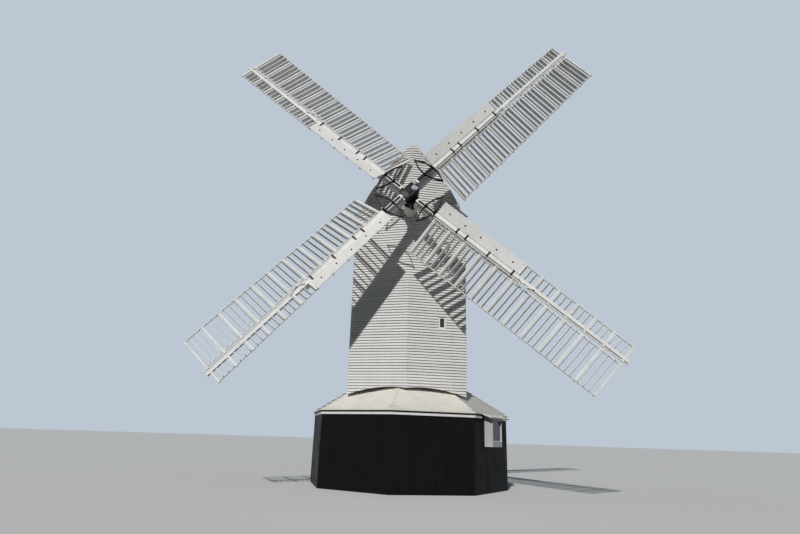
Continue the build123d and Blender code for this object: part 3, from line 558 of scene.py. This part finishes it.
# The trestle stands on brick piers: crossed trees, quarterbars and the great post, all of old oak. The
# timbers of the buck's frame are the same oak.
def brickwork():
    """Red brick in lime mortar, over the run x + y along a pier's faces."""
    material = new_material("pier_brick")
    tree = material.node_tree
    parts = node(tree, "SeparateXYZ", {0: position(tree)}).outputs
    run = maths(tree, "ADD", parts["X"], parts["Y"])
    bricks = courses(tree, run, parts["Z"], (0.30, 0.11, 0.07, 1), (0.20, 0.08, 0.06, 1),
                     (0.36, 0.34, 0.30, 1), 0.008)
    return surface(material, bricks["Color"], 0.9, bumped(tree, bricks["Fac"], 0.5, 0.006, invert=True))


def oak(name, stretch):
    """Aged oak. Its grain is noise drawn out along one direction by the stretch."""
    material = new_material(name)
    tree = material.node_tree
    drawn = node(tree, "Mapping", {"Vector": position(tree), "Scale": stretch}).outputs[0]
    grain = noise(tree, drawn, 3.0, 8.0, Distortion=0.6)
    colour = blend(tree, grain, (0.10, 0.065, 0.038, 1), (0.27, 0.19, 0.12, 1))
    return surface(material, colour, 0.8, bumped(tree, grain, 0.5, 0.004))


finish(brickwork(), "brick_piers")
finish(oak("oak_level", (6.0, 6.0, 14.0)), "crosstrees", "lower_floor", "sheers", "crown_tree",
       "side_girts", "shaft_beams")
finish(oak("oak_upright", (14.0, 14.0, 0.8)), "quarterbars", "main_post")


# The buck is clad with painted feather-edged weatherboards, nailed level to the frame. Each board
# laps over the one below, so its lower edge stands out and throws a thin line of shade.
board_pitch = 0.1
board_foot = 0.046
board_head = 0.004
strip_width = 0.2
first_course = 25
last_course = 130
thinnest = 0.0005
near = 0.0001


def weatherboard_paint():
    """White paint on boards: each board has its own tone, and a band of painted shade lies under the lap
    above it.

    The board's number is the whole part of height / pitch. Its tone is white noise of that number, and
    the painted shade is smoothstep of the fraction of height / pitch, from 74 to 88 percent.
    """
    material = new_material("weatherboard_paint")
    tree = material.node_tree
    count = maths(tree, "DIVIDE", height_in(tree), board_pitch)
    tone = node(tree, "TexWhiteNoise", {"W": maths(tree, "FLOOR", count)}, noise_dimensions="1D")
    shade = node(tree, "MapRange", {0: tone.outputs["Value"], 3: 0.90, 4: 1.0})
    worn = weathered(tree, (0.80, 0.79, 0.78, 1), (0.62, 0.60, 0.57, 1), 0.4, 0.9)
    toned = blend(tree, 1.0, worn["Color"], shade.outputs[0], blend_type="MULTIPLY")
    # Painted shade: a grey band on each board just under the foot of the board above, where its lap shades
    # it.
    lap_shade = smooth(tree, maths(tree, "FRACT", count), 0.74, 0.88, 0.35)
    colour = blend(tree, lap_shade, toned, (0.22, 0.22, 0.22, 1))
    drawn = node(tree, "Mapping", {"Vector": position(tree), "Scale": (3.0, 3.0, 90.0)}).outputs[0]
    normal = bumped(tree, noise(tree, drawn, 1.0, 5.0), 0.25, 0.002)
    return surface(material, colour, worn["Roughness"], normal, 0.3)


board_paint = weatherboard_paint()
finish(board_paint, "breast_left", "breast_right", "side_wall_left", "side_wall_right", "tail_wall")

buck_half = 2.070
breast_corner = 2.105
fold_reach = 2.555
tail_reach = 3.0
eaves = 9.85
breast_turn = math.atan((fold_reach - breast_corner) / buck_half)
cosine, sine = math.cos(breast_turn), math.sin(breast_turn)
arch_radius = 9.2727
arch_centre = np.array([-6.4849, 6.2714])
peak_radius = 0.380
peak_height = 12.3563
peak_half = 0.277
roof_thickness = 0.060
skirt_top = 4.830
skirt_slope = 0.5878


def arch_height(x):
    """The underside of the roof over x: an arc of the arch's radius, and in the middle the peak's."""
    x = np.abs(x)
    side = arch_centre[1] + np.sqrt((arch_radius - roof_thickness) ** 2 - (x - arch_centre[0]) ** 2)
    middle = peak_height + np.sqrt(np.maximum((peak_radius - roof_thickness) ** 2 - x ** 2, 0))
    return np.where(x > buck_half - near, eaves, np.where(x < peak_half, middle, side))


def skirt_height(x, y):
    """The foot of the boards: the cone that clears the roundhouse roof, top - slope x radius."""
    return skirt_top - skirt_slope * np.hypot(x, y)


def board_cells(edges, low, high):
    """Boards over strips of wall, as arrays (cell, corner) of run, height and lap.

    Each cell lies between two upright edges, and each course is cut to the strip's low and high curves.
    """
    laps = np.arange(first_course, last_course + 1) * board_pitch
    lo = np.stack([low(edges[:, 0]), low(edges[:, 1])], 1)[:, None, :]
    hi = np.stack([high(edges[:, 0]), high(edges[:, 1])], 1)[:, None, :]
    foot = np.clip(laps[None, :-1, None], lo, hi)
    head = np.clip(laps[None, 1:, None], lo, hi)
    share = (np.stack([foot, head]) - laps[None, None, :-1, None]) / board_pitch
    lap = board_foot + (board_head - board_foot) * share
    keep = (head - foot).max(2) > thinnest
    runs = np.broadcast_to(edges[:, None, :], foot.shape)
    return runs[keep], foot[keep], head[keep], lap[0][keep], lap[1][keep]


def weatherboards(name, start, along, outward, length, low, high, mitres, holes=()):
    """Lapped boards on a flat wall. A point is start + run x along + height x Z + lap x outward.

    At each end the run grows by lap x tan(half the corner's turn), so that boards meet in a mitre. Holes
    are (first run, last run, foot curve, head curve), and the boards stop at them.
    """
    hole_marks = [[first, last, (first + last) / 2] for first, last, foot, head in holes]
    even_marks = np.linspace(0, length, int(length / strip_width) + 1)
    marks = np.unique(np.round(np.concatenate([even_marks, *hole_marks]), 5))
    edges = np.stack([marks[:-1], marks[1:]], 1)
    middles = edges.mean(1)
    strips = [(np.ones(len(edges), bool), low, high)]
    for first, last, foot, head in holes:
        inside = (middles > first) & (middles < last)
        strips = [part for mask, lo, hi in strips for part in (
            (mask & ~inside, lo, hi), (mask & inside, lo, foot), (mask & inside, head, hi))]
    cells = [board_cells(edges[mask], lo, hi) for mask, lo, hi in strips if mask.any()]
    runs, foot, head, out_foot, out_head = [np.concatenate(part) for part in zip(*cells)]
    back = np.full_like(out_foot, board_head * 0.5)
    run = np.concatenate([runs, runs[:, ::-1], runs], 1)
    height = np.concatenate([foot, head[:, ::-1], foot], 1)
    out = np.concatenate([out_foot, out_head[:, ::-1], back], 1)
    run = run + out * (mitres[1] * (run > length - near) - mitres[0] * (run < near))
    along, outward = np.asarray(along, float), np.asarray(outward, float)
    points = np.asarray(start, float) + run[..., None] * along + out[..., None] * outward
    points[..., 2] += height
    index = np.arange(len(run))[:, None] * 6
    faces = np.concatenate([index + [0, 1, 2, 3], index + [1, 0, 4, 5]])
    if np.cross(along, upright) @ outward < 0:
        faces = faces[:, ::-1]
    return new_mesh(name, points, [faces], board_paint, "buck")


# The windshaft passes the breast in a round opening at its fold, so the boards of both halves end in
# a half circle there. They also stop at the frames of the breast window and of the tail door.
hub = np.array([0, -3.856, 10.085])
shaft_tilt = math.radians(8.45)
breast_length = buck_half / cosine
prow_mitre = math.tan(breast_turn)
front_mitre = math.tan(math.pi / 4 - breast_turn / 2)
tail_mitre = 1.0
gap_radius = 0.262
gap_height = hub[2] - (-hub[1] - fold_reach) * math.tan(shaft_tilt)
frame_cover = 0.012


def breast_foot(run):
    """The foot of the right breast at a run from the prow."""
    return skirt_height(run * cosine, -fold_reach + run * sine)


def breast_head(run):
    """The top of the right breast, under the roof boards."""
    return arch_height(run * cosine)


def shaft_gap(side):
    """The foot or head curve of the round opening for the windshaft, over a run from the prow."""
    return lambda run: gap_height + side * np.sqrt(np.maximum(gap_radius ** 2 - run ** 2, 0))


def level(height):
    """A curve that stays at one height."""
    return lambda run: 0 * run + height


def from_far_end(*curves):
    """Curves read from the other end of a breast wall."""
    return [lambda run, curve=curve: curve(breast_length - run) for curve in curves]


window_low, window_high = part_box("breast_window_frame")
door_low, door_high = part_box("tail_door_frame")
right_holes = [(0.0, gap_radius, shaft_gap(-1), shaft_gap(1)),
               (window_low.x / cosine + frame_cover, window_high.x / cosine - frame_cover,
                level(window_low.z), level(window_high.z))]
left_holes = [(breast_length - gap_radius, breast_length, *from_far_end(shaft_gap(-1), shaft_gap(1)))]
weatherboards("boards_breast_right", (0, -fold_reach, 0), (cosine, sine, 0), (sine, -cosine, 0),
              breast_length, breast_foot, breast_head, (prow_mitre, front_mitre), right_holes)
weatherboards("boards_breast_left", (-buck_half, -breast_corner, 0), (cosine, -sine, 0),
              (-sine, -cosine, 0), breast_length, *from_far_end(breast_foot, breast_head),
              (front_mitre, prow_mitre), left_holes)
side_length = tail_reach + breast_corner
weatherboards("boards_side_right", (buck_half, -breast_corner, 0), (0, 1, 0), (1, 0, 0), side_length,
              lambda run: skirt_height(buck_half, run - breast_corner), level(eaves),
              (front_mitre, tail_mitre))
weatherboards("boards_side_left", (-buck_half, tail_reach, 0), (0, -1, 0), (-1, 0, 0), side_length,
              lambda run: skirt_height(buck_half, tail_reach - run), level(eaves),
              (tail_mitre, front_mitre))
weatherboards("boards_tail", (buck_half, tail_reach, 0), (-1, 0, 0), (0, 1, 0), 2 * buck_half,
              lambda run: skirt_height(buck_half - run, tail_reach),
              lambda run: arch_height(buck_half - run),
              (tail_mitre, tail_mitre),
              [(buck_half + door_low.x, buck_half + door_high.x, level(door_low.z), level(door_high.z))])


# The buck's roof is boarded like its walls, with level laps that climb the arch to its round peak. The
# boards run a little past the breast and the tail wall.
roof_courses = 38
roof_foot = 0.020
roof_seat = 0.002
roof_overhang = 0.030
end_cover = 0.004


def arch_points(share, out):
    """Points (x, z) at a share of the way up the right side of the arch, moved outward by out."""
    foot = math.atan2(eaves - arch_centre[1], buck_half - arch_centre[0])
    top = math.atan2(peak_height - arch_centre[1], -arch_centre[0])
    side_run = arch_radius * (top - foot)
    run = share * (side_run + peak_radius * (math.pi / 2 - top))
    side = foot + run / arch_radius
    crown = top + (run - side_run) / peak_radius
    x = np.where(run < side_run, arch_centre[0] + (arch_radius + out) * np.cos(side),
                 (peak_radius + out) * np.cos(crown))
    z = np.where(run < side_run, arch_centre[1] + (arch_radius + out) * np.sin(side),
                 peak_height + (peak_radius + out) * np.sin(crown))
    return np.stack([x, z], 1)


def roof_boards(name, side):
    """The lapped boards of one roof slope: a sawtooth profile over the arch, carried from prow to tail."""
    share = np.linspace(0, 1, roof_courses + 1)
    steps = np.stack([share[:-1], share[1:]], 1).reshape(-1)
    outer = arch_points(steps, np.tile([roof_foot, board_head], roof_courses))
    ring = np.stack([outer, arch_points(steps, np.full(2 * roof_courses, -roof_seat))], 1)
    x, z = side * ring[..., 0], ring[..., 1]
    front = np.abs(x) * math.tan(breast_turn) - (fold_reach + roof_overhang / cosine) - end_cover
    rear = np.full_like(front, tail_reach + roof_overhang + end_cover)
    points = np.stack([np.stack([x, y, z], -1) for y in (front, rear)], 2)
    number = np.arange(points[..., 0].size).reshape(points.shape[:3])
    (outer_front, outer_rear), (inner_front, inner_rear) = number.transpose(1, 2, 0)
    faces = np.concatenate([strip(outer_front, outer_rear), strip(inner_front, outer_front),
                            strip(outer_rear, inner_rear)])
    if side < 0:
        faces = faces[:, ::-1]
    return new_mesh(name, points, [faces], board_paint, "buck")


roof_boards("boards_roof_right", 1)
roof_boards("boards_roof_left", -1)
finish(board_paint, "roof_left", "roof_right")


# At the tail a plank door opens on a small platform, from which the ladder goes down. The tail pole,
# by which the mill is pushed round to face the wind, runs out under the ladder's treads.
door_paint = planks("white_planks", (0.80, 0.80, 0.78, 1), (0.52, 0.51, 0.45, 1), (1, 0, 0))
finish(door_paint, "tail_door", "tail_platform")
door_ironwork("tail_door", "tail_door", (-1, 0, 0), (0, 1, 0), "buck")
stair_paint = painted("ladder_paint", (0.74, 0.74, 0.71, 1), (0.36, 0.34, 0.28, 1), 0.75, 1.6)
finish(stair_paint, "tail_door_frame", "ladder_strings", "ladder_treads", "handrails", "tail_pole")


# The sails are pine, painted white. Their grain runs along the long timbers, and across the sail in
# its bars and shutters, where the paint has worn grey.
sail_turn = math.radians(48.2)
level_axis = np.array([1.0, 0.0, 0.0])
steep_axis = np.array([0.0, math.sin(shaft_tilt), math.cos(shaft_tilt)])
shaft_axis = np.array([0.0, -math.cos(shaft_tilt), math.sin(shaft_tilt)])
first_axis = math.cos(sail_turn) * level_axis + math.sin(sail_turn) * steep_axis
second_axis = -math.sin(sail_turn) * level_axis + math.cos(sail_turn) * steep_axis


def sail_coordinates():
    """Positions counted along a sail, across it and forward, whichever pair of sails is nearest.

    Along is the larger of (position - hub) . first and (position - hub) . second, Across the other one.
    """
    group, _, out = group_tree("sail_coordinates", {}, {
        "Along": "Float", "Across": "Float", "Forward": "Float"})
    offset = node(group, "VectorMath", {0: position(group), 1: hub}, operation="SUBTRACT").outputs[0]
    first, second, forward = [dot(group, offset, axis) for axis in (first_axis, second_axis, shaft_axis)]
    sizes = [maths(group, "ABSOLUTE", value) for value in (first, second)]
    on_first = maths(group, "GREATER_THAN", *sizes)
    along = node(group, "Mix", {0: on_first, 2: second, 3: first}).outputs[0]
    across = node(group, "Mix", {0: on_first, 2: first, 3: second}).outputs[0]
    return put_out(group, out, Along=along, Across=across, Forward=forward)


sail_coordinates_group = sail_coordinates()


def sail_paint(name, along, across, amount):
    """White paint over pine. The grain is noise over (Along x along, Across x across, Forward x 40)."""
    material = new_material(name)
    tree = material.node_tree
    place = node(tree, "Group", node_tree=sail_coordinates_group).outputs
    drawn = node(tree, "CombineXYZ", {
        "X": maths(tree, "MULTIPLY", place["Along"], along),
        "Y": maths(tree, "MULTIPLY", place["Across"], across),
        "Z": maths(tree, "MULTIPLY", place["Forward"], 40.0)}).outputs[0]
    grain = noise(tree, drawn, 1.0, 5.0)
    worn = weathered(tree, (0.84, 0.83, 0.82, 1), (0.54, 0.52, 0.48, 1), amount, 1.5)
    colour = blend(tree, smooth(tree, grain, 0.56, 0.72, 0.35), worn["Color"], (0.46, 0.43, 0.37, 1))
    return surface(material, colour, worn["Roughness"], bumped(tree, grain, 0.3, 0.003), 0.3)


long_paint = sail_paint("sail_paint_along", 0.9, 40.0, 0.35)
cross_paint = sail_paint("sail_paint_across", 40.0, 0.9, 0.6)
finish(long_paint, "whips", "leading_boards", "front_stock", "rear_stock", "shutter_rods", "wedges",
       "shaft_nose")
finish(cross_paint, *[f"sail_{part}_{n}" for part in ("lattice", "shutters") for n in range(1, 5)])


# The leading boards have a bolt with a square washer in the middle of each bay and a nail at each bar,
# and a bolt through each bar's end holds the hemlath. All are black iron.
first_bar = 1.368
bay = 0.692
bars = 12
whip_radius = 9.140
whip_offset = 0.170
whip_heel_front = 0.090
whip_taper = 0.042
bar_top = 0.015
board_top = 0.056
board_bolt_line = -0.29
board_edge_line = -0.45
hemlath_line = 1.465
hemlath_top = 0.030


def sail_frames():
    """The place of each sail (4 x 4): X out along it, -Y to its trailing side, Z forward.

    X leans back or forward so that the four whips, on two crossed stocks, meet one plane at the tips.
    """
    frames = np.zeros((4, 4, 4))
    number = np.arange(4)
    turn = sail_turn + number * np.pi / 2
    side = np.where(number % 2 == 0, 1.0, -1.0)
    lean = side * math.atan(whip_offset / whip_radius)
    outward = np.cos(turn)[:, None] * level_axis + np.sin(turn)[:, None] * steep_axis
    around = -np.sin(turn)[:, None] * level_axis + np.cos(turn)[:, None] * steep_axis
    frames[:, :3, 0] = np.cos(lean)[:, None] * outward - np.sin(lean)[:, None] * shaft_axis
    frames[:, :3, 1] = around
    frames[:, :3, 2] = np.sin(lean)[:, None] * outward + np.cos(lean)[:, None] * shaft_axis
    frames[:, :3, 3] = hub + (side * whip_offset)[:, None] * shaft_axis
    frames[:, 3, 3] = 1
    return frames


sail_frame = sail_frames()


def on_sails(radius, across, lift, angle, surface_height):
    """Places on every sail, turned about X by the angle and moved up square to the surface by the lift."""
    places = np.zeros((radius.size, 4, 4))
    places[:, 0, 0] = places[:, 3, 3] = 1
    places[:, 1, 1] = places[:, 2, 2] = np.cos(angle)
    places[:, 2, 1] = np.sin(angle)
    places[:, 1, 2] = -np.sin(angle)
    places[:, 0, 3] = radius
    places[:, 1, 3] = -across - lift * np.sin(angle)
    places[:, 2, 3] = surface_height + lift * np.cos(angle)
    return np.einsum("sij,mjk->smik", sail_frame, places).reshape(-1, 4, 4)


def on_sail(radius, across, lift):
    """Places on the twisted surface of every sail; across counts to the trailing side.

    The weather falls from 23.4 degrees at the first bar to 6 at the last, and the surface lies
    0.015 - across x tan(weather) forward.
    """
    radius, across, lift = np.broadcast_arrays(np.asarray(radius, float), across, lift)
    weather = np.radians(23.4 - 17.4 * (radius - first_bar) / ((bars - 1) * bay))
    return on_sails(radius, across, lift, weather, bar_top - across * np.tan(weather))


def on_whip(radius, across):
    """Places on the flat front of every whip, with Z straight forward."""
    radius, across = np.broadcast_arrays(np.asarray(radius, float), across)
    return on_sails(radius, across, 0.0, 0.0, whip_heel_front - whip_taper * radius / whip_radius)


def ironwork(name, outline, places, low, high):
    """Plates of black iron that ride on the sails."""
    return plates(name, outline, places, low, high, iron, "sails")


bar_radii = first_bar + bay * np.arange(bars)
bolt = disc_outline(0.020, 8)
board_bolts = on_sail(bar_radii[:5] + bay / 2, board_bolt_line, board_top)
ironwork("leading_board_washers", disc_outline(0.036, 4), board_bolts, -0.001, 0.004)
ironwork("leading_board_bolts", bolt, board_bolts, 0.004, 0.020)
ironwork("leading_edge_nails", disc_outline(0.010, 6), on_sail(bar_radii[:6], board_edge_line, board_top),
         -0.001, 0.006)
ironwork("hemlath_bolts", disc_outline(0.011, 6), on_sail(bar_radii, hemlath_line, hemlath_top), -0.001,
         0.010)


# A painted block of wood on the front of the hemlath carries the pivot of each shutter, and there are
# three to a bay.
def strap_outline(half_run, half_width):
    """A plain rectangle over (run, across)."""
    return [(-half_run, -half_width), (half_run, -half_width), (half_run, half_width),
            (-half_run, half_width)]


shutter_start = 0.090
shutter_pitch = 0.205
pivot_radii = (bar_radii[:-1, None] + shutter_start + shutter_pitch * np.arange(3)).reshape(-1)
white_paint = painted("white_paint", (0.80, 0.80, 0.78, 1), (0.52, 0.51, 0.45, 1), 0.45)
plates("pivot_blocks", strap_outline(0.034, 0.013), on_sail(pivot_radii, hemlath_line, hemlath_top), -0.001,
       0.022, white_paint, "sails")


# Iron straps clamp each whip to its stock, and long plates on the whip's heel take the wear. On the heel
# of one sail a black plate covers the whip's whole width: painted shade, a dark sheet standing in for shade
# there.
clamp_radii = np.array([1.25, 2.30, 2.70, 3.67, 4.70])
nut_line = 0.088
plate_radii = [0.63, 1.01]
plate_half = 0.17
heel_bolt_radii = [0.50, 0.63, 0.76, 0.93, 1.09]
ironwork("whip_clamps", strap_outline(0.032, 0.105), on_whip(clamp_radii, 0.0), 0.0, 0.012)
ironwork("whip_clamp_nuts", disc_outline(0.020, 6),
         on_whip(np.repeat(clamp_radii, 2), np.tile([-nut_line, nut_line], len(clamp_radii))), -0.07, 0.045)
heel_places = on_whip(plate_radii, 0.0).reshape(4, 2, 4, 4)
# Painted shade: a black plate over the whole heel of the first sail.
ironwork("heel_painted_shade_plate", strap_outline(plate_half, 0.072), heel_places[0], -0.001, 0.008)
ironwork("heel_plates", strap_outline(plate_half, 0.042), heel_places[1:].reshape(-1, 4, 4), -0.001, 0.008)
ironwork("heel_bolts", bolt, on_whip(heel_bolt_radii, 0.0), 0.006, 0.022)


# Across each heel lies an elliptic leaf spring of iron, bound at its middle by clips and joined by a
# pin at each end. It holds the shutters against the wind.
spring_radius = 1.010
spring_reach = 0.680
spring_rise = 0.190
spring_leaf = 0.026
finish(iron, "springs")
clip_radii = spring_radius + np.array([-1, 1]) * (spring_rise + spring_leaf / 2)
ironwork("spring_clips", strap_outline(0.022, 0.05), on_whip(clip_radii, 0.0), -0.004, 0.090)
ironwork("spring_pins", disc_outline(0.026, 10),
         on_whip([spring_radius] * 2, [-spring_reach, spring_reach]), -0.006, 0.092)


# A thin fillet closes the gap between each whip and its leading boards. Where the boards end, two bent
# levers cross between the shutter bar and the whip, so that the bar can be worked by hand.
stations = 9


def bent_bar(name, ends, bow, lift, half_width, half_depth):
    """A bar on every sail between two points (radius, across), bowed sideways by a parabola.

    The middle line is start + share x (end - start) + bow x 4 x share x (1 - share) to its left. The lift
    is one height, or one for each station.
    """
    share = np.linspace(0, 1, stations)[:, None]
    start, end = np.asarray(ends, float)
    run = end - start
    left = np.array([-run[1], run[0]]) / np.hypot(*run)
    middle = start + share * run + bow * 4 * share * (1 - share) * left
    corners = np.array([(-1, -1), (1, -1), (1, 1), (-1, 1)])
    flat = middle[:, None] + corners[None, :, :1] * half_width * left
    height = np.reshape(lift, (-1, 1, 1)) + corners[None, :, 1:] * half_depth + 0 * flat[..., :1]
    local = np.concatenate([flat[..., :1], -flat[..., 1:], height, np.ones_like(height)], -1)
    points = np.einsum("sij,rcj->scri", sail_frame, local)[..., :3]
    index = np.arange(4 * 4 * stations).reshape(4, 4, stations)
    walls = strip(np.roll(index, -1, 1), index)
    caps = [index[..., 0], index[:, ::-1, -1]]
    return new_mesh(name, points, [walls, *caps], long_paint, "sails")


bent_bar("leading_fillets", [(1.36, -0.0757), (4.86, -0.0700)], 0.0, np.linspace(0.058, 0.044, stations),
         0.009, 0.022)
bent_bar("hand_lever_1", [(4.93, 0.215), (5.62, 0.02)], 0.03, 0.105, 0.014, 0.010)
bent_bar("hand_lever_2", [(4.97, 0.02), (5.55, 0.215)], 0.03, 0.125, 0.014, 0.010)


# The poll end is an iron casting with two crossed sockets. Straps are bolted over the front socket, one of
# worn steel coloured pale blue-grey as a painted highlight and one rusty, and a row of bolts closes its
# end.
poll_front = 0.135
strap_bolt_runs = [-0.295, -0.295, -0.135, -0.135, 0.140, 0.140]
strap_bolt_lines = [-0.120, 0.120, -0.120, 0.120, 0.155, -0.100]
end_bolt_run = 0.312


def chamfered(half_run, half_width, cut):
    """A rectangle over (run, across) with its corners cut."""
    return [(-half_run + cut, -half_width), (half_run - cut, -half_width), (half_run, -half_width + cut),
            (half_run, half_width - cut), (half_run - cut, half_width), (-half_run + cut, half_width),
            (-half_run, half_width - cut), (-half_run, -half_width + cut)]


def on_poll(along, across):
    """Places on the front of the poll end: along points to the first sail, across to its trailing side."""
    along, across = np.broadcast_arrays(along, across)
    origins = hub + along[:, None] * first_axis - across[:, None] * second_axis + poll_front * shaft_axis
    return placed(origins, first_axis, shaft_axis, second_axis)


# Painted highlight: the bright strap's pale blue-grey stands for the sky's glint on worn steel.
steel_with_painted_highlight = painted("worn_steel_and_painted_highlight", (0.26, 0.30, 0.38, 1), (0.04, 0.04, 0.045, 1), 0.9, 8.0, 0.001, 0.8)
rusty = painted("rusty_iron", (0.045, 0.034, 0.030, 1), (0.24, 0.18, 0.15, 1), 0.9, 9.0, 0.004, 0.2)
finish(iron, "poll_end", "shaft_bearings", "iron_neck")
plates("bright_strap", chamfered(0.095, 0.110, 0.015), on_poll([0.205], [0.075]), -0.001, 0.014, steel_with_painted_highlight,
       "sails")
plates("rusty_strap", chamfered(0.110, 0.150, 0.015), on_poll([-0.215], [0.0]), -0.001, 0.014, rusty,
       "sails")
ironwork("strap_bolts", disc_outline(0.022, 6), on_poll(strap_bolt_runs, strap_bolt_lines), 0.010, 0.036)
ironwork("end_bolts", disc_outline(0.018, 6), on_poll([end_bolt_run] * 4, np.linspace(-0.15, 0.15, 4)),
         -0.001, 0.030)
finish(oak("oak_shaft", (14.0, 1.0, 14.0)), "windshaft")
